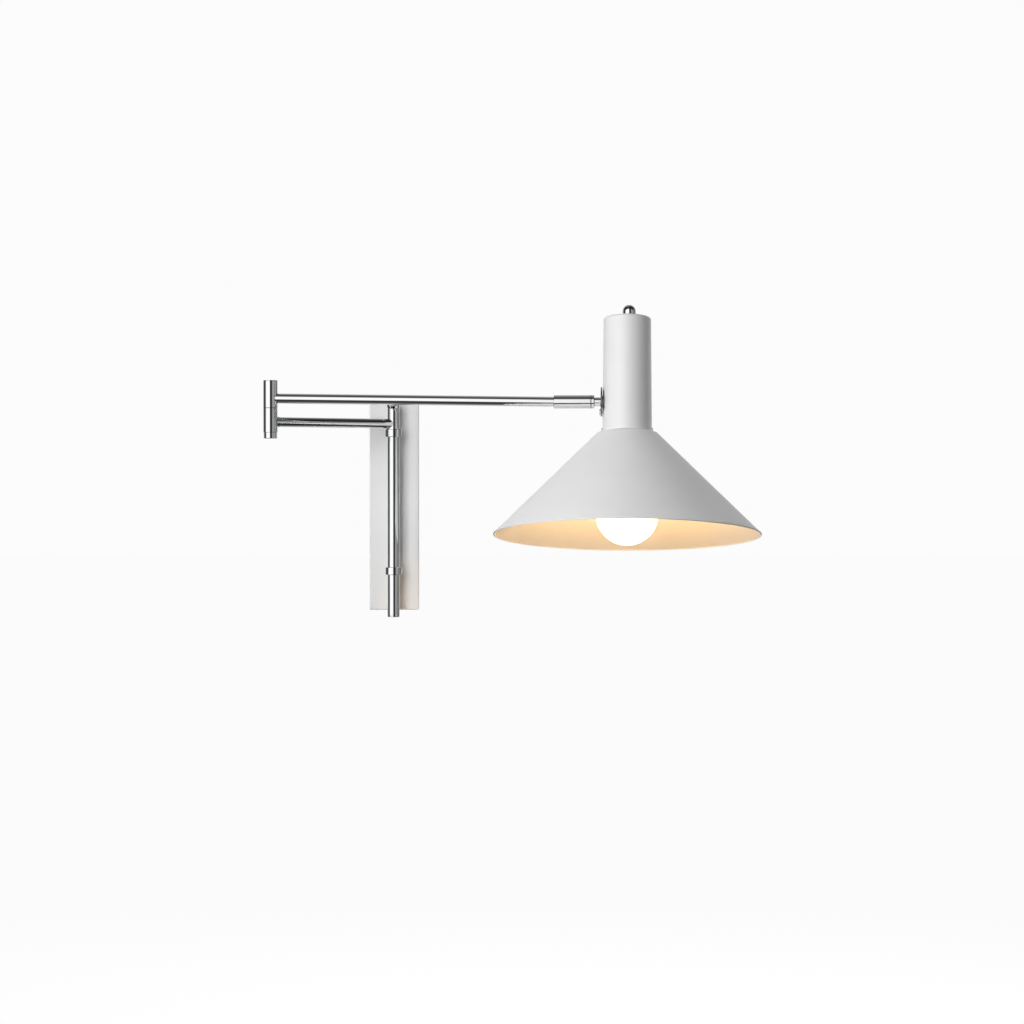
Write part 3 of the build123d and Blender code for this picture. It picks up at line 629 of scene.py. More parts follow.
def block(low: Corner, high: Corner) -> bpy.types.Mesh:
    """Make a plain cutter.

    Args:
        low: Its lowest corner, in mm.
        high: The opposite corner.

    Returns:
        The cutter's mesh.
    """
    work = bmesh.new()
    bmesh.ops.create_cube(work, size=1)
    size = [high[axis] - low[axis] for axis in range(3)]
    middle = [(high[axis] + low[axis]) / 2 for axis in range(3)]
    bmesh.ops.scale(work, vec=[length * MM for length in size], verts=work.verts)
    bmesh.ops.translate(work, vec=[length * MM for length in middle], verts=work.verts)
    mesh = bpy.data.meshes.new("cutter")
    work.to_mesh(mesh)
    work.free()
    return mesh


def slide_to_tube(point: Vector, direction: Vector, axis: Vector, radius: float) -> Vector:
    """Move a point along a direction until it lies on an upright tube.

    Args:
        point: Point that moves, in metres.
        direction: Direction that it moves in, away from the tube's axis.
        axis: Any point on the tube's axis.
        radius: Radius of the tube, in metres.

    Returns:
        The point on the tube's surface.
    """
    flat = direction.xy
    offset = point.xy - axis.xy
    square = flat.dot(flat)
    half = offset.dot(flat)
    root = math.sqrt(half * half - square * (offset.dot(offset) - radius * radius))
    return point + direction * ((root - half) / square)


class Workshop:
    """Holds the four node trees and makes turned pieces, tubes and welds with them, and copes tube ends."""

    def __init__(self) -> None:
        """Build the trees."""
        self.spun = SpunTree()
        self.ring = RingTree()
        self.stack = StackTree()
        self.bead = BeadTree()

    def turn(self, corners: Sequence[Corner], place: Matrix, material: bpy.types.Material,
             closed: bool = False, soften: float = SOFT_EDGE, facets: int = 96) -> bpy.types.Mesh:
        """Make a turned piece.

        Args:
            corners: Outline of the piece, from axis to axis or round a ring, in mm.
            place: Where the piece goes; it is turned about the place's Z axis.
            material: Finish of the piece.
            closed: Whether the outline is a ring's.
            soften: Round of corners that give none, in mm.
            facets: Number of facets round the axis.

        Returns:
            The finished mesh.
        """
        outline = smooth_outline(corners, closed, soften)
        if doubled_area(outline) < 0:
            outline.reverse()
        if closed:
            outline.append(outline[0])
        base = mesh_of([Vector((point.x * MM, 0, point.y * MM)) for point in outline])
        inputs = {"Outline points": len(outline), "Facets": facets, "Material": material}
        return finish_mesh(self.spun.run(base, inputs), place)

    def tube(self, outer: float, inner: float, low: float, high: float, place: Matrix,
             material: bpy.types.Material, soften: float = SOFT_EDGE, facets: int = 96) -> bpy.types.Mesh:
        """Make a straight tube.

        Args:
            outer: Outer radius, in mm.
            inner: Inner radius, in mm.
            low: Where it starts on the place's Z axis, in mm.
            high: Where it ends.
            place: Where the tube goes.
            material: Finish of the tube.
            soften: Round of its end edges, in mm.
            facets: Number of facets round it.

        Returns:
            The finished mesh.
        """
        corners = [(inner, low), (outer, low), (outer, high), (inner, high)]
        return self.turn(corners, place, material, closed=True, soften=soften, facets=facets)

    def cope(self, mesh: bpy.types.Mesh, place: Matrix, at: float, tube_axis: Matrix, radius: float) -> None:
        """Shape one end of a tube to the upright tube that it meets.

        Args:
            mesh: The finished tube.
            place: Place of the tube.
            at: Where the end lies on the place's Z axis, in mm.
            tube_axis: Place of the upright tube.
            radius: Radius of the upright tube, in mm.
        """
        back = place.inverted()
        along = place.to_3x3() @ Vector((0, 0, 1))
        middle = place @ Vector((0, 0, at * MM / 2))
        axis = tube_axis.translation
        outward = along if (middle.xy - axis.xy).dot(along.xy) > 0 else -along
        for vertex in mesh.vertices:
            if abs((back @ vertex.co).z - at * MM) < MM / 2:
                vertex.co = slide_to_tube(vertex.co, outward, axis, radius * MM)
        mesh.update()

    def weld(self, arm_place: Matrix, arm_radius: float, outward: float, tube_axis: Matrix,
             radius: float, bead: float, material: bpy.types.Material) -> bpy.types.Mesh:
        """Run a weld bead round the joint of an arm and an upright tube.

        Args:
            arm_place: Place of the arm, along its Z axis.
            arm_radius: Outer radius of the arm, in mm.
            outward: 1 where the arm leaves the tube along its Z axis, -1 where it arrives.
            tube_axis: Place of the upright tube.
            radius: Radius of the upright tube, in mm.
            bead: Radius of the bead, in mm.
            material: Finish of the bead.

        Returns:
            The finished mesh.
        """
        across, up, along = (arm_place.to_3x3().col[axis] for axis in range(3))
        axis = tube_axis.translation
        shift = (axis.xy - arm_place.translation.xy).dot(along.xy)
        centre = arm_place.translation + along * shift
        path = []
        for index in range(WELD_POINTS):
            angle = FULL_TURN * index / WELD_POINTS
            spoke = across * math.cos(angle) + up * math.sin(angle)
            rim = centre + spoke * arm_radius * MM
            path.append(slide_to_tube(rim, along * outward, axis, radius * MM))
        edges = [(index, (index + 1) % WELD_POINTS) for index in range(WELD_POINTS)]
        inputs = {"Bead radius": bead * MM, "Facets": WELD_FACETS, "Material": material}
        return finish_mesh(self.bead.run(mesh_of(path, edges), inputs), Matrix())


# Finishes


class Paint:
    """A material whose node tree is built step by step round one principled shader.

    Noise gathers round its middle, so spread and blend give the low and the high noise
    between which values and colours change.
    """

    spread: tuple[float, float] = (0.3, 0.7)
    blend: tuple[float, float] = (0.35, 0.65)

    def __init__(self, name: str) -> None:
        """Start a material with nothing but its shader.

        Args:
            name: Name of the material.
        """
        self.material = bpy.data.materials.new(name)
        self.material.use_nodes = True
        self.tree = self.material.node_tree
        self.shader = next(node for node in self.tree.nodes if node.type == "BSDF_PRINCIPLED")

    def set(self, **values: object) -> None:
        """Set values on the shader's own sockets, by names with underscores for spaces."""
        for name, value in values.items():
            self.shader.inputs[name.replace("_", " ")].default_value = value

    def add(self, kind: str, **inputs: object) -> bpy.types.Node:
        """Add a node and set or link its inputs.

        Args:
            kind: Type of the node.
            inputs: Value, socket or node for each input, by names with underscores for spaces.

        Returns:
            The new node.
        """
        node = self.tree.nodes.new(kind)
        for name, value in inputs.items():
            self.join(value, node.inputs[name.replace("_", " ")])
        return node

    def join(self, source: object, target: bpy.types.NodeSocket) -> None:
        """Link or set one input.

        Args:
            source: Node, socket or value.
            target: Input socket that receives it.
        """
        if isinstance(source, bpy.types.Node):
            source = source.outputs[0]
        if isinstance(source, bpy.types.NodeSocket):
            self.tree.links.new(source, target)
        else:
            target.default_value = source

    def position(self, stretch: Corner = (1.0, 1.0, 1.0)) -> bpy.types.Node:
        """Return object coordinates, stretched along the three axes."""
        coordinates = self.tree.nodes.new("ShaderNodeTexCoord").outputs["Object"]
        mapping = self.add("ShaderNodeMapping", Vector=coordinates)
        mapping.inputs["Scale"].default_value = stretch
        return mapping

    def noise(self, where: bpy.types.Node, grain: float, detail: float = 3.0) -> bpy.types.NodeSocket:
        """Return noise whose patches are about one grain across.

        Args:
            where: Coordinates of the noise.
            grain: Size of a patch, in mm.
            detail: Number of finer layers.

        Returns:
            The noise between 0 and 1.
        """
        node = self.add("ShaderNodeTexNoise", Vector=where, Scale=1 / (grain * MM), Detail=detail)
        return node.outputs["Fac"]

    def between(self, source: bpy.types.NodeSocket, low: float, high: float) -> bpy.types.Node:
        """Spread noise between two values.

        Args:
            source: Noise between 0 and 1.
            low: Value where the noise is low.
            high: Value where it is high.

        Returns:
            Node that gives the value.
        """
        low_noise, high_noise = self.spread
        node = self.add("ShaderNodeMapRange", Value=source, From_Min=low_noise, From_Max=high_noise)
        node.inputs["To Min"].default_value = low
        node.inputs["To Max"].default_value = high
        return node

    def tint(self, source: bpy.types.NodeSocket, first: Corner, second: Corner) -> bpy.types.NodeSocket:
        """Blend two colours by noise.

        Args:
            source: Noise between 0 and 1.
            first: Colour where the noise is low.
            second: Colour where it is high.

        Returns:
            The blended colour.
        """
        ramp = self.add("ShaderNodeValToRGB", Fac=source)
        for element, position, colour in zip(ramp.color_ramp.elements, self.blend, (first, second)):
            element.position = position
            element.color = (*colour, 1)
        return ramp.outputs["Color"]

    def relief(self, source: bpy.types.NodeSocket, depth: float, strength: float) -> bpy.types.Node:
        """Connect a fine relief to the shader.

        Args:
            source: Height between 0 and 1.
            depth: Height of the relief, in mm.
            strength: How much of it shows, from 0 to 1.

        Returns:
            The bump node.
        """
        bump = self.add("ShaderNodeBump", Height=source, Strength=strength, Distance=depth * MM)
        self.join(bump, self.shader.inputs["Normal"])
        return bump


@dataclass(frozen=True)
class MirrorChrome:
    """Polished chrome plating with faint wipe marks."""

    colour: Corner = (0.93, 0.933, 0.936)
    shade: Corner = (0.90, 0.904, 0.91)
    smoothest: float = 0.015
    roughest: float = 0.045

    def make(self, name: str) -> bpy.types.Material:
        """Build the material under a name."""
        paint = Paint(name)
        paint.set(Metallic=1.0)
        patches = paint.noise(paint.position(), 22, 4)
        wipes = paint.noise(paint.position((1.0, 1.0, 5.0)), 6, 5)
        paint.join(paint.tint(patches, self.shade, self.colour), paint.shader.inputs["Base Color"])
        paint.join(paint.between(wipes, self.smoothest, self.roughest), paint.shader.inputs["Roughness"])
        paint.relief(paint.noise(paint.position(), 3.2, 2), 0.004, 0.02)
        return paint.material


@dataclass(frozen=True)
class PowderEnamel:
    """Satin white powder coat with a fine orange-peel surface."""

    colour: Corner = (0.905, 0.905, 0.903)
    shade: Corner = (0.89, 0.89, 0.888)
    roughness: float = 0.44
    peel: float = 0.9

    def make(self, name: str) -> bpy.types.Material:
        """Build the material under a name."""
        paint = Paint(name)
        patches = paint.noise(paint.position(), 45, 4)
        peel = paint.noise(paint.position(), self.peel, 2)
        paint.join(paint.tint(patches, self.shade, self.colour), paint.shader.inputs["Base Color"])
        rough = paint.between(peel, self.roughness - 0.05, self.roughness + 0.05)
        paint.join(rough, paint.shader.inputs["Roughness"])
        paint.relief(peel, 0.012, 0.5)
        return paint.material


@dataclass(frozen=True)
class PlatedMetal:
    """Plain working metal: zinc plate, turned brass or drawn sheet, with drawn or turned marks."""

    colour: Corner
    shade: Corner
    roughness: float
    mark: float = 0.5

    def make(self, name: str) -> bpy.types.Material:
        """Build the material under a name."""
        paint = Paint(name)
        paint.set(Metallic=1.0)
        spangle = paint.add("ShaderNodeTexVoronoi", Vector=paint.position(), Scale=1 / (4 * MM))
        marks = paint.noise(paint.position((1.0, 1.0, 9.0)), self.mark * 4, 4)
        paint.join(
            paint.tint(spangle.outputs["Distance"], self.shade, self.colour),
            paint.shader.inputs["Base Color"],
        )
        rough = paint.between(marks, self.roughness - 0.08, self.roughness + 0.1)
        paint.join(rough, paint.shader.inputs["Roughness"])
        paint.relief(marks, 0.02, 0.4)
        return paint.material


@dataclass(frozen=True)
class Moulded:
    """Moulded plastic, rubber or ceramic with a fine grain."""

    colour: Corner
    shade: Corner
    roughness: float
    grain: float
    depth: float = 0.02
    specular: float = 0.5

    def make(self, name: str) -> bpy.types.Material:
        """Build the material under a name."""
        paint = Paint(name)
        paint.set(Specular_IOR_Level=self.specular)
        cloud = paint.noise(paint.position(), 14, 3)
        grain = paint.noise(paint.position(), self.grain, 4)
        paint.join(paint.tint(cloud, self.shade, self.colour), paint.shader.inputs["Base Color"])
        rough = paint.between(grain, self.roughness - 0.06, self.roughness + 0.06)
        paint.join(rough, paint.shader.inputs["Roughness"])
        paint.relief(grain, self.depth, 0.5)
        return paint.material


@dataclass(frozen=True)
class LitOpal:
    """Opal glass with the lamp lit behind it, a little brighter in its milky patches."""

    colour: Corner = (0.97, 0.95, 0.9)
    glow: Corner = (1.0, 0.61, 0.245)
    faint_glow: Corner = (0.96, 0.585, 0.235)
    strength: float = 13.6

    def make(self, name: str) -> bpy.types.Material:
        """Build the material under a name."""
        paint = Paint(name)
        paint.set(Roughness=0.12, Emission_Strength=self.strength, Coat_Weight=0.6, Coat_Roughness=0.04)
        milk = paint.noise(paint.position(), 16, 3)
        paint.join(
            paint.tint(milk, [0.98 * part for part in self.colour], self.colour),
            paint.shader.inputs["Base Color"],
        )
        paint.join(paint.tint(milk, self.faint_glow, self.glow), paint.shader.inputs["Emission Color"])
        return paint.material


Finish = MirrorChrome | PowderEnamel | PlatedMetal | Moulded | LitOpal

FINISHES: dict[Slot, Finish] = {
    Slot.CHROME: MirrorChrome(),
    Slot.ENAMEL: PowderEnamel(),
    Slot.ZINC: PlatedMetal((0.66, 0.67, 0.68), (0.56, 0.57, 0.58), 0.34),
    Slot.BRASS: PlatedMetal((0.75, 0.60, 0.30), (0.66, 0.50, 0.23), 0.26, 0.3),
    Slot.ALUMINIUM: PlatedMetal((0.78, 0.78, 0.79), (0.68, 0.68, 0.70), 0.30, 0.4),
    Slot.NYLON: Moulded((0.85, 0.84, 0.80), (0.80, 0.79, 0.74), 0.48, 0.8),
    Slot.RUBBER: Moulded((0.045, 0.045, 0.045), (0.065, 0.064, 0.062), 0.78, 0.5, 0.03, 0.3),
    Slot.HOLDER: Moulded((0.88, 0.87, 0.83), (0.85, 0.835, 0.79), 0.30, 1.1, 0.01),
    Slot.TERMINAL: Moulded((0.86, 0.85, 0.80), (0.82, 0.805, 0.75), 0.46, 0.7),
    Slot.CERAMIC: Moulded((0.90, 0.89, 0.86), (0.84, 0.83, 0.79), 0.68, 0.45, 0.04),
    Slot.OPAL: LitOpal(),
}

# Darker chrome for the saddle disc, partly painted shade: it stands in for the dark line that shade gives
# the disc's edge seen edge-on.
DISC_PAINTED_SHADE = MirrorChrome(colour=(0.26, 0.26, 0.265), shade=(0.2, 0.2, 0.205), smoothest=0.14, roughest=0.24)


class FinishShelf:
    """Holds one material for each slot and the disc's darker chrome, which partly paints in the shade along
    the disc's edge.
    """

    def __init__(self) -> None:
        """Build every finish once."""
        self.materials = {slot: finish.make(f"finish_{slot.value}") for slot, finish in FINISHES.items()}
        self.disc_painted_shade = DISC_PAINTED_SHADE.make("disc_painted_shade")

    def __getitem__(self, slot: Slot) -> bpy.types.Material:
        """Return the material of a slot."""
        return self.materials[slot]


# Sub-assemblies


@dataclass
class SubAssembly:
    """A group of pieces that ride on one body. Lengths are in mm."""

    places: Places
    workshop: Workshop
    finishes: FinishShelf

    def add(self, name: str, mesh: bpy.types.Mesh, body: Body, slot: Slot, *nodes: str) -> bpy.types.Object:
        """Add a finished piece to the scene.

        Args:
            name: Name of the piece.
            mesh: Its finished mesh, in place.
            body: Body that it rides on.
            slot: Material slot of its finish.
            nodes: CAD nodes that it stands for.

        Returns:
            The new object.
        """
        mesh.name = name
        mesh.materials.clear()
        mesh.materials.append(self.finishes[slot])
        piece = bpy.data.objects.new(name, mesh)
        bpy.context.scene.collection.objects.link(piece)
        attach(piece, body.value)
        if nodes:
            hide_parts(*nodes)
        log.info("%s: %d faces on %s", name, len(mesh.polygons), body.value)
        return piece

    def turned(self, name: str, body: Body, slot: Slot, place: Matrix, corners: Sequence[Corner],
               *nodes: str, closed: bool = False, soften: float = SOFT_EDGE,
               facets: int = 96) -> bpy.types.Object:
        """Turn a piece and add it.

        Args:
            name: Name of the piece.
            body: Body that it rides on.
            slot: Material slot of its finish.
            place: Place whose Z axis it is turned about.
            corners: Outline of the piece.
            nodes: CAD nodes that it stands for.
            closed: Whether the outline is a ring's.
            soften: Round of corners that give none.
            facets: Number of facets round the axis.

        Returns:
            The new object.
        """
        mesh = self.workshop.turn(corners, place, self.finishes[slot], closed, soften, facets)
        return self.add(name, mesh, body, slot, *nodes)


@dataclass
class WallBracket(SubAssembly):
    """Enamelled plate on its strap, with the two eye brackets that carry the post; only the plate is built
    here, the rest keeps its CAD shape.
    """

    sheet: float = 2.0
    edge_round: float = 1.4
    inner_corner: float = 0.5
    front_margin: float = 0.6
    edge_support: float = 0.4
    back_edge: float = 0.12
    floor_margin: float = 0.3
    least_corner: float = 0.02
    edge_steps: int = 8
    corner_steps: int = 8

    def tray_loop(self, inset: float, depth: float, corner: float) -> list[Vector]:
        """Make one level line of the tray.

        Args:
            inset: How far the line lies inside the plate's outer edge.
            depth: Its distance from the wall.
            corner: Radius of its corners.

        Returns:
            The line's points, anticlockwise as seen from the room.
        """
        high = node_high("back_plate")
        half_width = high.x - inset
        half_height = high.z - inset
        points = []
        for quarter in range(4):
            right = quarter in (0, 3)
            upper = quarter in (0, 1)
            centre_x = (half_width - corner) * (1 if right else -1)
            centre_z = (half_height - corner) * (1 if upper else -1)
            for step in range(self.corner_steps + 1):
                angle = math.pi / 2 * (quarter + step / self.corner_steps)
                x = centre_x + corner * math.cos(angle)
                z = centre_z + corner * math.sin(angle)
                points.append(Vector((x, -depth, z)) * MM)
        return points

    def tray_loops(self) -> list[list[Vector]]:
        """Return the tray's level lines, from its front over its edge to the inside of its front."""
        depth = -node_low("back_plate").y
        corner = self.edge_round
        inner = self.inner_corner
        support = self.edge_support
        loops = [self.tray_loop(corner + self.front_margin, depth, inner)]
        for step in range(self.edge_steps, -1, -1):
            angle = math.pi / 2 * step / self.edge_steps
            inset = corner * (1 - math.cos(angle))
            level = depth - corner * (1 - math.sin(angle))
            loops.append(self.tray_loop(inset, level, max(corner - inset, self.least_corner)))
        for inset, level, radius in (
            (0, depth - corner - support, corner),
            (0, support, corner),
            (self.back_edge, 0, corner),
            (self.sheet - self.back_edge, 0, inner),
            (self.sheet, support, inner),
            (self.sheet, depth - self.sheet - support, inner),
            (self.sheet + self.floor_margin, depth - self.sheet, inner),
        ):
            loops.append(self.tray_loop(inset, level, radius))
        return loops

    def tray(self) -> bpy.types.Mesh:
        """Make the pressed tray as one closed shell."""
        loops = self.tray_loops()
        count = len(loops[0])
        points = [point for loop in loops for point in loop]
        faces = [list(range(count)), [len(points) - count + index for index in reversed(range(count))]]
        for level in range(len(loops) - 1):
            for index in range(count):
                ahead = (index + 1) % count
                start = level * count
                faces.append([start + ahead, start + index, start + count + index, start + count + ahead])
        mesh = mesh_of(points, faces=faces)
        return finish_mesh(mesh, Matrix())

    def build(self) -> None:
        """Build the bracket's own pieces."""
        self.add("pressed_tray", self.tray(), Body.BRACKET, Slot.ENAMEL, "back_plate")


@dataclass
class PostAndLowerArm(SubAssembly):
    """Post with its caps, the lower arm and the lower half of the elbow."""

    post_radius: float = 8.0
    post_wall: float = 1.5
    cap_spigot: float = 8.0
    cap_flare: float = 2.8
    arm_radius: float = 6.35
    arm_wall: float = 1.2
    collar_radius: float = 6.9
    collar_length: float = 3.0
    collar_lead: float = 2.0
    elbow_radius: float = 9.2
    elbow_wall: float = 1.5
    elbow_cap_radius: float = 8.6
    weld_bead: float = 0.45

    def post(self) -> None:
        """Build the post and its two caps."""
        low = node_low("post_tube").z
        high = node_high("post_tube").z
        bore = self.post_radius - self.post_wall
        self.turned("polished_post", Body.LOWER_ARM, Slot.CHROME, self.places.post, [
            (bore, low), (self.post_radius, low), (self.post_radius, high), (bore, high),
        ], "post_tube", closed=True)
        top = node_high("post_top_cap").z
        cap_radius = node_high("post_top_cap").x
        self.turned("flared_post_cap", Body.LOWER_ARM, Slot.CHROME, self.places.post, [
            (0, high - self.cap_spigot),
            (bore - PRESS_GAP, high - self.cap_spigot),
            (bore - PRESS_GAP, high, 0),
            (self.post_radius, high),
            (cap_radius, high + self.cap_flare, 0.8),
            (cap_radius, top, 1.0),
            (0, top),
        ], "post_top_cap")
        foot = node_low("post_bottom_cap").z
        self.turned("post_foot_plug", Body.LOWER_ARM, Slot.CHROME, self.places.post, [
            (0, foot),
            (self.post_radius, foot, 0.8),
            (self.post_radius, low),
            (bore - PRESS_GAP, low, 0),
            (bore - PRESS_GAP, low + self.cap_spigot),
            (0, low + self.cap_spigot),
        ], "post_bottom_cap")

    def arm(self) -> None:
        """Build the lower arm, its weld at the post and its collar at the elbow."""
        place = self.places.lower_arm
        run = self.places.lower_run
        chrome = self.finishes[Slot.CHROME]
        shop = self.workshop
        tube = shop.tube(self.arm_radius, self.arm_radius - self.arm_wall, 0, run, place, chrome, 0)
        shop.cope(tube, place, 0, self.places.post, self.post_radius)
        shop.cope(tube, place, run, self.places.elbow, self.elbow_radius)
        self.add("lower_arm_bar", tube, Body.LOWER_ARM, Slot.CHROME, "lower_arm_tube")
        bead = shop.weld(place, self.arm_radius, 1, self.places.post, self.post_radius,
                         self.weld_bead, chrome)
        self.add("post_weld", bead, Body.LOWER_ARM, Slot.CHROME)
        meeting = run - math.sqrt(self.elbow_radius ** 2 - self.arm_radius ** 2)
        start = meeting - self.collar_length - self.collar_lead
        collar = shop.turn([
            (self.arm_radius + PRESS_GAP, start),
            (self.collar_radius, start, 0.25),
            (self.collar_radius, run, 0),
            (self.arm_radius + PRESS_GAP, run, 0),
        ], place, chrome, closed=True, soften=0)
        shop.cope(collar, place, run, self.places.elbow, self.elbow_radius)
        self.add("lower_arm_sleeve_ring", collar, Body.LOWER_ARM, Slot.CHROME, "lower_arm_collar")

    def elbow_half(self) -> None:
        """Build the lower half of the elbow and its plug."""
        low = node_low("lower_elbow_tube").z
        seam = node_high("lower_elbow_tube").z
        bore = self.elbow_radius - self.elbow_wall
        self.turned("elbow_lower_barrel", Body.LOWER_ARM, Slot.CHROME, self.places.elbow, [
            (bore, low),
            (self.elbow_radius, low, 0.3),
            (self.elbow_radius, seam, 0.12),
            (bore, seam),
        ], "lower_elbow_tube", closed=True)
        bottom = node_low("elbow_bottom_cap").z
        top = node_high("elbow_bottom_cap").z
        self.turned("elbow_foot_plug", Body.LOWER_ARM, Slot.CHROME, self.places.elbow, [
            (0, bottom),
            (self.elbow_cap_radius, bottom, 0.9),
            (self.elbow_cap_radius, low, 0.4),
            (bore - PRESS_GAP, low, 0),
            (bore - PRESS_GAP, top),
            (0, top),
        ], "elbow_bottom_cap")

    def build(self) -> None:
        """Build all pieces of this body."""
        self.post()
        self.arm()
        self.elbow_half()


@dataclass
class UpperArm(SubAssembly):
    """Upper half of the elbow, the upper arm and the swivel sleeve at its end."""

    arm_radius: float = 6.35
    arm_wall: float = 1.2
    elbow_radius: float = 9.2
    elbow_wall: float = 1.5
    socket_depth: float = 24.0
    socket_gap: float = 1.0
    socket_cone: float = 3.0
    mouth_gap: float = 0.12
    weld_bead: float = 0.45
    sleeve_start: float = 93.0
    sleeve_end: float = 41.6
    sleeve_radius: float = 8.55
    sleeve_round: float = 1.6
    sleeve_bore: float = 7.0
    end_ring: float = 3.6
    ring_nose: float = 2.8
    groove_width: float = 0.9
    groove_depth: float = 0.75
    seal_sink: float = 0.1
    seal_drop: float = 0.2
    seal_gap: float = 0.05
    spindle_radius: float = 5.0

    def elbow_half(self) -> None:
        """Build the upper half of the elbow and its cap."""
        low = node_low("upper_elbow_tube").z
        high = node_high("upper_elbow_tube").z
        bore = self.elbow_radius - self.elbow_wall
        self.turned("elbow_upper_barrel", Body.UPPER_ARM, Slot.CHROME, self.places.elbow, [
            (bore, low),
            (self.elbow_radius, low, 0.12),
            (self.elbow_radius, high, 0.15),
            (bore, high),
        ], "upper_elbow_tube", closed=True)
        spigot = node_low("elbow_top_cap").z
        top = node_high("elbow_top_cap").z
        self.turned("elbow_crown", Body.UPPER_ARM, Slot.CHROME, self.places.elbow, [
            (0, spigot),
            (bore - PRESS_GAP, spigot),
            (bore - PRESS_GAP, high, 0),
            (self.elbow_radius, high, 0.15),
            (self.elbow_radius, top, 0.7),
            (0, top),
        ], "elbow_top_cap")

    def arm(self) -> None:
        """Build the upper arm and its weld at the elbow."""
        place = self.places.upper_arm
        chrome = self.finishes[Slot.CHROME]
        shop = self.workshop
        end = self.places.upper_run + self.socket_depth / 2 - self.socket_gap
        tube = shop.tube(self.arm_radius, self.arm_radius - self.arm_wall, 0, end, place, chrome, 0)
        shop.cope(tube, place, 0, self.places.elbow, self.elbow_radius)
        self.add("upper_arm_bar", tube, Body.UPPER_ARM, Slot.CHROME, "upper_arm_tube")
        bead = shop.weld(place, self.arm_radius, 1, self.places.elbow, self.elbow_radius,
                         self.weld_bead, chrome)
        self.add("elbow_weld", bead, Body.UPPER_ARM, Slot.CHROME)

    def sleeve(self) -> None:
        """Build the swivel sleeve, the ring screwed into its end and the dark rubber seal between them,
        which also paints in the shade of the groove.
        """
        body_end = -(self.sleeve_end + self.end_ring + self.groove_width)
        ring_low = -(self.sleeve_end + self.end_ring)
        mouth = self.arm_radius + self.mouth_gap
        socket = -(self.sleeve_start - self.socket_depth)
        self.turned("swivel_barrel", Body.UPPER_ARM, Slot.CHROME, self.places.swivel, [
            (mouth, -self.sleeve_start, 0.3),
            (self.sleeve_radius, -self.sleeve_start, self.sleeve_round),
            (self.sleeve_radius, body_end, 0.2),
            (self.sleeve_bore, body_end),
            (self.sleeve_bore, socket + self.socket_cone),
            (mouth, socket),
        ], "swivel_sleeve", closed=True)
        self.turned("swivel_lock_ring", Body.UPPER_ARM, Slot.CHROME, self.places.swivel, [
            (self.spindle_radius + RUNNING_GAP, body_end - self.ring_nose),
            (self.sleeve_bore - PRESS_GAP, body_end - self.ring_nose),
            (self.sleeve_bore - PRESS_GAP, body_end, 0),
            (self.sleeve_radius - self.groove_depth, body_end, 0),
            (self.sleeve_radius - self.groove_depth, ring_low, 0),
            (self.sleeve_radius, ring_low, 0.2),
            (self.sleeve_radius, -self.sleeve_end, 0.5),
            (self.spindle_radius + RUNNING_GAP, -self.sleeve_end),
        ], "swivel_end_ring", closed=True)
        # The seal's black rubber is partly painted shade: it darkens the groove where shade falls between
        # sleeve and ring.
        floor = self.sleeve_radius - self.groove_depth - self.seal_sink
        crest = self.sleeve_radius - self.seal_drop
        self.turned("swivel_groove_seal_and_shade", Body.UPPER_ARM, Slot.RUBBER, self.places.swivel, [
            (floor, body_end + self.seal_gap),
            (crest, body_end + self.seal_gap),
            (crest, ring_low - self.seal_gap),
            (floor, ring_low - self.seal_gap),
        ], closed=True, soften=0.1)

    def build(self) -> None:
        """Build all pieces of this body."""
        self.elbow_half()
        self.arm()
        self.sleeve()


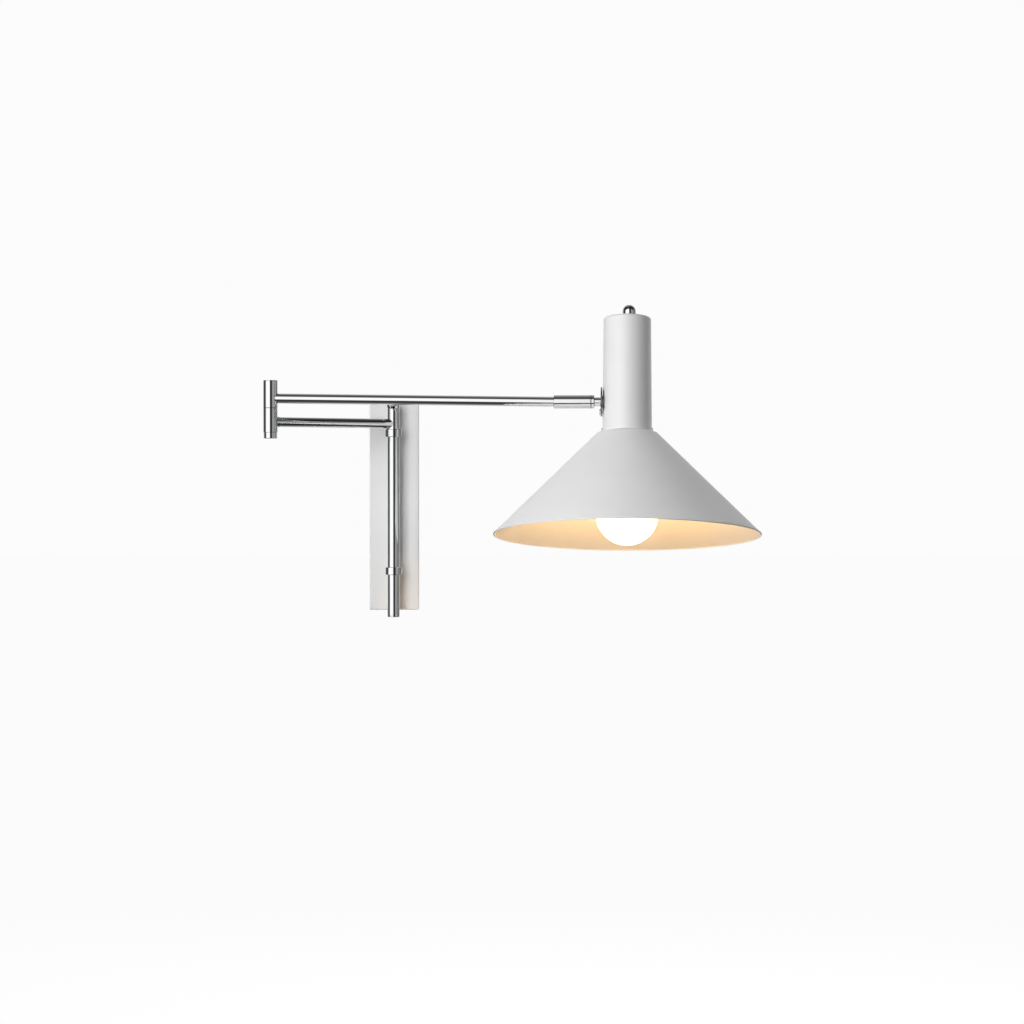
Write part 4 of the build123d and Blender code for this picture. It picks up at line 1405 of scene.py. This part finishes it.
@dataclass
class LampHead(SubAssembly):
    """Neck, disc, housing and shade. Heights run along the head's own axis from the swivel."""

    sleeve_end: float = 41.6
    neck_radius: float = 5.7
    spindle_radius: float = 5.0
    spindle_bore: float = 2.8
    flange_radius: float = 6.6
    flange: float = 3.2
    flange_back: float = 50.1
    flange_gap: float = 0.3
    neck_gap: float = 0.1
    neck_tail: float = 14.0
    neck_inner_end: float = 21.47
    disc_radius: float = 18.7
    disc_thickness: float = 1.8
    disc_gap: float = 0.56
    screw_drop: float = 13.2
    screw_head_radius: float = 4.3
    screw_head: float = 1.6
    screw_radius: float = 1.5
    screw_length: float = 7.5
    slot_depth: float = 0.6
    housing_top: float = 108.0
    housing_bottom: float = -38.6
    housing_top_radius: float = 30.1
    housing_bottom_radius: float = 31.2
    housing_wall: float = 1.2
    housing_round: float = 3.2
    switch_hole: float = 5.05
    cutter_reach: float = 5.0
    shade_rim_radius: float = 168.2
    shade_rim_height: float = -169.6
    shoulder_radius: float = 38.6
    shoulder_height: float = -40.8
    shoulder_round: float = 1.6
    shade_sheet: float = 1.0
    bead_radius: float = 0.9
    collar_height: float = 13.0
    collar_gap: float = 0.2
    seat_gap: float = 0.1
    seat_step: float = 0.4
    shade_screw_height: float = -35.8
    shade_screw_head_radius: float = 2.1
    shade_screw_head: float = 1.3
    shade_screw_radius: float = 1.4
    shade_screw_length: float = 6.0
    shade_screw_gap: float = 0.05
    shade_screw_count: int = 2

    def housing_radius(self, height: float) -> float:
        """Return the housing's outer radius at a height."""
        share = (height - self.housing_bottom) / (self.housing_top - self.housing_bottom)
        return self.housing_bottom_radius + share * (self.housing_top_radius - self.housing_bottom_radius)

    def disc_face(self) -> float:
        """Return where the disc's side towards the housing lies on the neck's axis."""
        return -(self.housing_radius(-self.disc_radius) + self.disc_gap)

    def neck(self) -> None:
        """Build the hollow neck that turns in the sleeve."""
        flange_high = -(self.flange_back + self.flange_gap)
        flange_low = flange_high - self.flange
        tail = flange_low - self.neck_tail
        front = self.disc_face() - self.disc_thickness
        neck_start = -self.sleeve_end + self.neck_gap
        self.turned("swivel_stem", Body.HEAD, Slot.CHROME, self.places.neck, [
            (self.spindle_bore, tail),
            (self.spindle_radius, tail),
            (self.spindle_radius, flange_low),
            (self.flange_radius, flange_low),
            (self.flange_radius, flange_high),
            (self.spindle_radius, flange_high),
            (self.spindle_radius, neck_start),
            (self.neck_radius, neck_start, 0.3),
            (self.neck_radius, front, 0),
            (self.spindle_radius, front, 0),
            (self.spindle_radius, -self.neck_inner_end),
            (self.spindle_bore, -self.neck_inner_end),
        ], "swivel_neck", closed=True, soften=0.15)

    def disc(self) -> None:
        """Build the disc between neck and housing."""
        face = self.disc_face()
        front = face - self.disc_thickness
        plate = self.turned("saddle_plate", Body.HEAD, Slot.CHROME, self.places.neck, [
            (self.spindle_radius + PRESS_GAP, front, 0),
            (self.disc_radius, front, 0.5),
            (self.disc_radius, face, 0.5),
            (self.spindle_radius + PRESS_GAP, face, 0),
        ], "saddle_disc", closed=True, facets=128)
        # The disc gets the darker chrome, which partly paints in the shade along its edge.
        plate.data.materials[0] = self.finishes.disc_painted_shade

    def slotted_screw(self, radius: float, head_radius: float, head: float, length: float,
                      crown: float, slot: float) -> bpy.types.Mesh:
        """Make a slotted screw that points down its own Z axis, with its seat at the origin.

        Args:
            radius: Radius of the shank.
            head_radius: Radius of the head.
            head: Height of the head.
            length: Length of the shank.
            crown: Round of the head's upper edge.
            slot: Half the slot's width.

        Returns:
            The screw's mesh about the origin.
        """
        blank = self.workshop.turn([
            (0, -length),
            (radius, -length, 0.3),
            (radius, 0, 0),
            (head_radius, 0, 0.1),
            (head_radius, head, crown),
            (0, head),
        ], Matrix(), self.finishes[Slot.CHROME], facets=48)
        reach = head_radius + 1
        return difference(blank, block((-slot, -reach, head - self.slot_depth), (slot, reach, head + 1)))

    def screws(self) -> None:
        """Build the disc's screw and the screws through the shade's joint."""
        front = self.disc_face() - self.disc_thickness
        drop = Matrix.Translation((-self.screw_drop * MM, 0, front * MM))
        screw = self.slotted_screw(self.screw_radius, self.screw_head_radius, self.screw_head,
                                   self.screw_length, crown=1.0, slot=0.5)
        about = Matrix.Rotation(math.pi, 4, "X") @ Matrix.Rotation(math.pi / 2, 4, "Z")
        finish_mesh(screw, self.places.neck @ drop @ about)
        self.add("saddle_screw", screw, Body.HEAD, Slot.CHROME, "disc_screw")
        seat = self.housing_radius(self.shade_screw_height) + self.shade_screw_gap
        one = self.slotted_screw(self.shade_screw_radius, self.shade_screw_head_radius,
                                 self.shade_screw_head, self.shade_screw_length, crown=0.6, slot=0.3)
        one.transform(Matrix.Translation((seat * MM, 0, 0)) @ Matrix.Rotation(math.pi / 2, 4, "Y"))
        ring = self.workshop.ring.run(one, {
            "Count": self.shade_screw_count,
            "Height": self.shade_screw_height * MM,
            "Material": self.finishes[Slot.CHROME],
        })
        finish_mesh(ring, self.places.head)
        self.add("shade_joint_screws", ring, Body.HEAD, Slot.CHROME, "shade_screws")

    def housing(self) -> None:
        """Build the tapered can with the hole for the switch under its knob."""
        inner_top = self.housing_top - self.housing_wall
        hole_low = inner_top - self.cutter_reach
        hole_high = self.housing_top + self.cutter_reach
        top_inside = self.housing_top_radius - self.housing_wall
        bottom_inside = self.housing_bottom_radius - self.housing_wall
        enamel = self.finishes[Slot.ENAMEL]
        can = self.workshop.turn([
            (0, self.housing_top),
            (self.housing_top_radius, self.housing_top, self.housing_round),
            (self.housing_bottom_radius, self.housing_bottom, 0.35),
            (bottom_inside, self.housing_bottom, 0.2),
            (top_inside, inner_top, self.housing_round - self.housing_wall),
            (0, inner_top),
        ], self.places.head, enamel, facets=144)
        hole = self.workshop.turn([
            (0, hole_low),
            (self.switch_hole, hole_low),
            (self.switch_hole, hole_high),
            (0, hole_high),
        ], self.places.knob, enamel, soften=0, facets=48)
        can = finish_mesh(difference(can, hole), Matrix())
        self.add("enamelled_can", can, Body.HEAD, Slot.ENAMEL, "head_housing")

    def shade(self) -> None:
        """Build the spun shade with its collar and its rolled rim."""
        run = Vector((self.shade_rim_radius - self.shoulder_radius,
                      self.shade_rim_height - self.shoulder_height))
        fall = math.atan2(-run.y, run.x)
        shoulder_fall = math.atan2(self.housing_bottom - self.shoulder_height,
                                   self.shoulder_radius - self.housing_bottom_radius)
        middle = (fall + shoulder_fall) / 2
        corner = self.shade_sheet / math.cos((fall - shoulder_fall) / 2)
        seat = self.housing_bottom - self.seat_gap
        under = seat - self.shade_sheet / math.cos(shoulder_fall)
        collar_top = self.housing_bottom + self.collar_height
        collar = self.housing_radius(collar_top) - self.housing_wall - self.collar_gap
        inset = self.shade_sheet / math.sin(fall)
        rim = (self.shade_rim_radius - inset / 2, self.shade_rim_height)
        half_gap = math.degrees(math.asin(self.shade_sheet / 2 / self.bead_radius))
        back = 180 - math.degrees(fall)
        bead = circle_arc(rim, self.bead_radius, back - half_gap, back - 360 + half_gap, 24)
        self.turned("spun_shade", Body.HEAD, Slot.ENAMEL, self.places.head, [
            (collar, collar_top, 0.3),
            (collar, seat, 0.3),
            (self.housing_bottom_radius, seat, 0),
            (self.shoulder_radius, self.shoulder_height, self.shoulder_round),
            *bead,
            (self.shoulder_radius - corner * math.sin(middle),
             self.shoulder_height - corner * math.cos(middle),
             self.shoulder_round - self.shade_sheet),
            (self.housing_bottom_radius - self.seat_step, under, 0),
            (collar - self.shade_sheet, under, 0.8),
            (collar - self.shade_sheet, collar_top, 0.3),
        ], "shade", closed=True, soften=0, facets=240)

    def build(self) -> None:
        """Build all pieces of the head's outside."""
        self.neck()
        self.disc()
        self.screws()
        self.housing()
        self.shade()


@dataclass
class LampholderAndBulb(SubAssembly):
    """Ribbed lampholder and the lit globe below it, by height along the head's axis."""

    cap_radius: float = 20.5
    skirt_radius: float = 19.6
    wall: float = 2.0
    top: float = -33.0
    split: float = -57.0
    bottom: float = -90.0
    nipple_radius: float = 5.02
    rib_count: int = 4
    rib_start: float = 6.0
    rib_step: float = 4.0
    rib_height: float = 1.6
    rib_rise: float = 0.5
    rib_foot: float = 0.2
    globe_radius: float = 39.5
    globe_centre: float = -143.0
    glass: float = 1.0
    throat_radius: float = 14.6
    throat_top: float = -87.6
    throat_length: float = 3.0
    waist_share: float = 0.80

    def holder(self) -> None:
        """Build both halves of the lampholder and the ribs round the lower one."""
        self.turned("lampholder_hood", Body.HEAD, Slot.HOLDER, self.places.head, [
            (self.nipple_radius, self.top),
            (self.cap_radius, self.top, 4.0),
            (self.cap_radius, self.split, 0.35),
            (self.cap_radius - self.wall, self.split),
            (self.cap_radius - self.wall, self.top - self.wall, 2.0),
            (self.nipple_radius, self.top - self.wall),
        ], "holder_cap", closed=True)
        inner = self.skirt_radius - self.wall
        self.turned("lampholder_skirt", Body.HEAD, Slot.HOLDER, self.places.head, [
            (inner, self.split),
            (self.skirt_radius, self.split, 0.3),
            (self.skirt_radius, self.bottom, 0.8),
            (inner, self.bottom, 0.5),
        ], "holder_skirt", closed=True)
        rib = self.workshop.turn([
            (self.skirt_radius - self.rib_foot, 0),
            (self.skirt_radius + self.rib_rise, self.rib_foot, 0.25),
            (self.skirt_radius + self.rib_rise, self.rib_height - self.rib_foot, 0.25),
            (self.skirt_radius - self.rib_foot, self.rib_height),
        ], Matrix(), self.finishes[Slot.HOLDER], closed=True)
        ribs = self.workshop.stack.run(rib, {
            "Count": self.rib_count,
            "Top": (self.split - self.rib_start) * MM,
            "Step": self.rib_step * MM,
            "Material": self.finishes[Slot.HOLDER],
        })
        finish_mesh(ribs, self.places.head)
        self.add("lampholder_ribs", ribs, Body.HEAD, Slot.HOLDER)

    def globe_line(self, inset: float) -> list[Corner]:
        """Return the globe's outline from its lowest point to its throat.

        Args:
            inset: How far the line lies inside the glass's outside.

        Returns:
            The outline's corners.
        """
        radius = self.globe_radius - inset
        leave = math.degrees(math.asin(self.waist_share * self.globe_radius / radius))
        line = circle_arc((0, self.globe_centre), radius, -90, leave, 4)
        line[-1] = (line[-1][0], line[-1][1], 6.0)
        return [
            *line,
            (self.throat_radius - inset, self.throat_top - self.throat_length, 3.0),
            (self.throat_radius - inset, self.throat_top, 0),
        ]

    def globe(self) -> None:
        """Build the opal globe as one shell with its inside."""
        outside = self.globe_line(0)
        inside = self.globe_line(self.glass)
        self.turned("opal_globe", Body.HEAD, Slot.OPAL, self.places.head,
                    [*outside, *reversed(inside)], "bulb_globe", facets=128)

    def build(self) -> None:
        """Build the lampholder and the globe."""
        self.holder()
        self.globe()


@dataclass
class SwitchKnob(SubAssembly):
    """Domed knob on the head, which turns the switch below it."""

    housing_top: float = 108.0
    radius: float = 8.4
    height: float = 16.1
    gap: float = 0.8
    recess_radius: float = 7.3
    recess: float = 2.9
    shaft_radius: float = 3.02
    bore_share: float = 0.6
    bore_gap: float = 0.2

    def build(self) -> None:
        """Build the knob with its recess and its blind bore."""
        low = self.housing_top + self.gap
        high = low + self.height
        dome = high - self.radius
        roof = self.housing_top + self.recess
        bore_end = self.housing_top + self.height * self.bore_share + self.bore_gap
        self.turned("domed_knob", Body.KNOB, Slot.CHROME, self.places.knob, [
            *circle_arc((0, dome), self.radius, 90, 0, 5),
            (self.radius, low, 0.4),
            (self.recess_radius, low, 0.2),
            (self.recess_radius, roof, 0),
            (self.shaft_radius, roof, 0),
            (self.shaft_radius, bore_end, 0),
            (0, bore_end),
        ], "switch_knob", soften=0)


class InnerParts:
    """Dresses the CAD nodes that keep their own shape; seen_as names those that look unlike their slot."""

    seen_as: dict[str, Slot] = {
        "elbow_seam_washer": Slot.RUBBER,
        "ring_bushes": Slot.RUBBER,
        "thrust_washer": Slot.CHROME,
    }

    def __init__(self, finishes: FinishShelf) -> None:
        """Keep the finishes.

        Args:
            finishes: One material for each slot.
        """
        self.finishes = finishes

    def dress(self) -> None:
        """Give every CAD node that is still shown the finish of its slot."""
        for name, node in frame["nodes"].items():
            if node.hide_render:
                continue
            for place in node.material_slots:
                slot = self.seen_as.get(name) or Slot(place.material.name.split(".")[0])
                place.material = self.finishes[slot]
                log.info("%s: %s", name, slot.value)


# Studio


@dataclass(frozen=True)
class SoftLight:
    """A large soft lamp that looks at the object."""

    name: str
    azimuth: float
    elevation: float
    distance: float
    width: float
    height: float
    power: float

    def hang(self, target: Vector) -> None:
        """Put the lamp in the scene.

        Args:
            target: Point that it looks at, in metres.
        """
        around = math.radians(self.azimuth)
        above = math.radians(self.elevation)
        towards = Vector((
            math.sin(around) * math.cos(above),
            -math.cos(around) * math.cos(above),
            math.sin(above),
        ))
        data = bpy.data.lights.new(self.name, "AREA")
        data.shape = "RECTANGLE"
        data.size = self.width
        data.size_y = self.height
        data.energy = self.power
        lamp = bpy.data.objects.new(self.name, data)
        lamp.location = target + towards * self.distance
        lamp.rotation_euler = (-towards).to_track_quat("-Z", "Y").to_euler()
        lamp.visible_camera = False
        lamp.visible_glossy = False
        bpy.context.scene.collection.objects.link(lamp)


@dataclass
class Studio:
    """Pale floor, pale surroundings, soft lamps and the camera."""

    backdrop: float = 0.973
    ambient: float = 0.05
    floor_share: float = 0.88
    floor_glow: float = 1.093
    floor_grey: float = 0.42
    floor_roughness: float = 0.9
    flags_start: float = 0.22
    flags_full: float = 0.45
    floor_height: float = -1.1
    floor_size: float = 60.0
    camera_place: Corner = (0.1564, -3.164, 0.03886)
    camera_pitch: float = -0.894
    lens: float = 83.32
    target: Corner = (0.15, -0.15, 0.02)
    lamps: tuple[SoftLight, ...] = (
        SoftLight("front_key", -26.5, 19.0, 1.215, 0.6, 1.0, 13.0),
        SoftLight("left_side", -72, 18, 2.6, 1.4, 1.8, 10.5),
        SoftLight("right_back", 130, 20, 2.6, 1.4, 1.8, 37),
        SoftLight("rear", 180, 20, 2.6, 1.6, 1.8, 37),
    )
    side_levels: tuple[Corner, ...] = (
        (-180, 0.8), (-130, 0.5), (-114, 0.10), (-104, 0.02), (-86, 0.03), (-76, 0.15), (-66, 0.8),
        (-60, 1.1), (-18, 1.1), (-6, 1.05), (-3, 0.8), (1, 0.05), (4, 0.02), (24, 0.02), (33, 0.15),
        (46, 0.40), (60, 0.36), (71, 0.14), (82, 0.25), (93, 0.26), (104, 0.12), (120, 0.14),
        (130, 0.25), (150, 0.4), (162, 0.5), (180, 0.8),
    )
    rise_levels: tuple[Corner, ...] = (
        (-180, 1.0), (-125, 0.8), (-100, 0.4), (-88, 0.25), (-76, 0.05), (-24, 0.03), (-17, 0.5),
        (-10, 1.0), (36, 1.0), (46, 0.3), (54, 0.05), (72, 0.05), (100, 0.25), (112, 0.4),
        (125, 0.5), (150, 0.7), (180, 1.0),
    )

    def camera(self) -> None:
        """Put the camera where the photograph was taken from."""
        data = bpy.data.cameras.new("camera")
        data.lens = self.lens
        data.sensor_width = 36
        data.clip_start = 0.1
        data.clip_end = 200
        camera = bpy.data.objects.new("camera", data)
        camera.location = self.camera_place
        camera.rotation_euler = (math.radians(90 + self.camera_pitch), 0, 0)
        bpy.context.scene.collection.objects.link(camera)
        bpy.context.scene.camera = camera

    def floor(self) -> None:
        """Lay the floor, which shows as pale as the surroundings but keeps the shadow."""
        half = self.floor_size / 2
        height = self.floor_height
        corners = [(-half, -half), (half, -half), (half, half), (-half, half)]
        mesh = mesh_of([Vector((x, y, height)) for x, y in corners], faces=[[0, 1, 2, 3]])
        floor = bpy.data.objects.new("floor", mesh)
        bpy.context.scene.collection.objects.link(floor)
        floor.visible_glossy = False
        floor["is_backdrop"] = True
        material = bpy.data.materials.new("floor")
        material.use_nodes = True
        tree = material.node_tree
        shader = next(node for node in tree.nodes if node.type == "BSDF_PRINCIPLED")
        grey = self.floor_grey
        shader.inputs["Base Color"].default_value = (grey, grey, grey, 1)
        shader.inputs["Roughness"].default_value = self.floor_roughness
        shader.inputs["Specular IOR Level"].default_value = 0.0
        glow = tree.nodes.new("ShaderNodeEmission")
        glow.inputs["Color"].default_value = (1, 1, 1, 1)
        glow.inputs["Strength"].default_value = self.floor_glow
        share = tree.nodes.new("ShaderNodeMath")
        share.operation = "MULTIPLY"
        share.inputs[1].default_value = self.floor_share
        rays = tree.nodes.new("ShaderNodeLightPath")
        mix = tree.nodes.new("ShaderNodeMixShader")
        output = next(node for node in tree.nodes if node.type == "OUTPUT_MATERIAL")
        tree.links.new(rays.outputs["Is Camera Ray"], share.inputs[0])
        tree.links.new(share.outputs[0], mix.inputs[0])
        tree.links.new(shader.outputs[0], mix.inputs[1])
        tree.links.new(glow.outputs[0], mix.inputs[2])
        tree.links.new(mix.outputs[0], output.inputs["Surface"])
        mesh.materials.append(material)

    def surroundings(self) -> None:
        """Build the world: white to the eye, dim to dull surfaces, and screens and flags to metal."""
        world = bpy.data.worlds.new("studio")
        bpy.context.scene.world = world
        world.use_nodes = True
        tree = world.node_tree
        tree.nodes.clear()

        def add(kind: str, **settings: object) -> bpy.types.Node:
            """Add a node.

            Args:
                kind: Type of the node.
                settings: Properties to set on it.

            Returns:
                The new node.
            """
            node = tree.nodes.new(kind)
            for name, value in settings.items():
                setattr(node, name, value)
            return node

        def math_node(operation: str, first: object, second: object = 0.0) -> bpy.types.NodeSocket:
            """Add a math node.

            Args:
                operation: Blender's name of the operation.
                first: First operand, a socket or number.
                second: Second operand.

            Returns:
                The result's socket.
            """
            node = add("ShaderNodeMath", operation=operation)
            for index, value in enumerate((first, second)):
                if isinstance(value, bpy.types.NodeSocket):
                    tree.links.new(value, node.inputs[index])
                else:
                    node.inputs[index].default_value = value
            return node.outputs[0]

        def levels(angle: bpy.types.NodeSocket, stops: Sequence[Corner]) -> bpy.types.NodeSocket:
            """Look an angle up in a list of levels.

            Args:
                angle: The angle from -pi to pi, in radians.
                stops: Angle in degrees and level of each stop, from -180 to 180.

            Returns:
                The level at the angle.
            """
            share = math_node("MULTIPLY_ADD", angle, 1 / FULL_TURN)
            share.node.inputs[2].default_value = 0.5
            ramp = add("ShaderNodeValToRGB")
            tree.links.new(share, ramp.inputs["Fac"])
            elements = ramp.color_ramp.elements
            for degrees, _ in stops[1:-1]:
                elements.new((degrees + 180) / 360)
            for element, (_, level) in zip(elements, stops):
                element.color = (level, level, level, 1)
            return ramp.outputs["Color"]

        sight = add("ShaderNodeTexCoord")
        parts = add("ShaderNodeSeparateXYZ")
        tree.links.new(sight.outputs["Generated"], parts.inputs[0])
        east, north, up = (parts.outputs[axis] for axis in ("X", "Y", "Z"))
        front = math_node("MULTIPLY", north, -1.0)
        side = levels(math_node("ARCTAN2", east, front), self.side_levels)
        rise = levels(math_node("ARCTAN2", up, front), self.rise_levels)
        steep = add("ShaderNodeMapRange", interpolation_type="SMOOTHSTEP")
        tree.links.new(math_node("ABSOLUTE", up), steep.inputs["Value"])
        steep.inputs["From Min"].default_value = self.flags_start
        steep.inputs["From Max"].default_value = self.flags_full
        flags = add("ShaderNodeMix", data_type="FLOAT")
        tree.links.new(steep.outputs[0], flags.inputs["Factor"])
        flags.inputs["A"].default_value = 1.0
        tree.links.new(rise, flags.inputs["B"])
        screen = math_node("MULTIPLY", side, flags.outputs[0])
        rays = add("ShaderNodeLightPath")
        shades = [add("ShaderNodeBackground") for _ in range(3)]
        for shade, strength in zip(shades, (self.ambient, 1.0, self.backdrop)):
            shade.inputs["Strength"].default_value = strength
            shade.inputs["Color"].default_value = (1, 1, 1, 1)
        tree.links.new(screen, shades[1].inputs["Color"])
        to_metal = add("ShaderNodeMixShader")
        tree.links.new(rays.outputs["Is Glossy Ray"], to_metal.inputs[0])
        tree.links.new(shades[0].outputs[0], to_metal.inputs[1])
        tree.links.new(shades[1].outputs[0], to_metal.inputs[2])
        to_eye = add("ShaderNodeMixShader")
        seen = math_node("MAXIMUM", rays.outputs["Is Camera Ray"], rays.outputs["Is Transmission Ray"])
        tree.links.new(seen, to_eye.inputs[0])
        tree.links.new(to_metal.outputs[0], to_eye.inputs[1])
        tree.links.new(shades[2].outputs[0], to_eye.inputs[2])
        output = add("ShaderNodeOutputWorld")
        tree.links.new(to_eye.outputs[0], output.inputs["Surface"])

    def build(self) -> None:
        """Set up everything round the lamp."""
        bpy.context.scene.view_settings.view_transform = "Standard"
        self.camera()
        self.floor()
        self.surroundings()
        for lamp in self.lamps:
            lamp.hang(Vector(self.target))


def corners_as_list(box: tuple[Vector, Vector]) -> list[list[float]]:
    """Return a box's two corners as plain lists."""
    return [list(corner) for corner in box]


def main(cad_box: list[list[float]]) -> None:
    """Build the lamp's looks round the frame.

    Args:
        cad_box: Box of the CAD model, as it was straight after loading; not used.
    """
    logging.basicConfig(level=logging.INFO, format="%(message)s")
    places = Places.from_frame(upper_arm_height=136.5, socket_back=81.0)
    workshop = Workshop()
    finishes = FinishShelf()
    assemblies: list[Callable[..., SubAssembly]] = [
        WallBracket, PostAndLowerArm, UpperArm, LampHead, LampholderAndBulb, SwitchKnob,
    ]
    for assembly in assemblies:
        assembly(places, workshop, finishes).build()
    InnerParts(finishes).dress()
    Studio().build()
    bpy.context.view_layer.update()


if __name__ == "__main__":
    main(corners_as_list(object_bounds()))
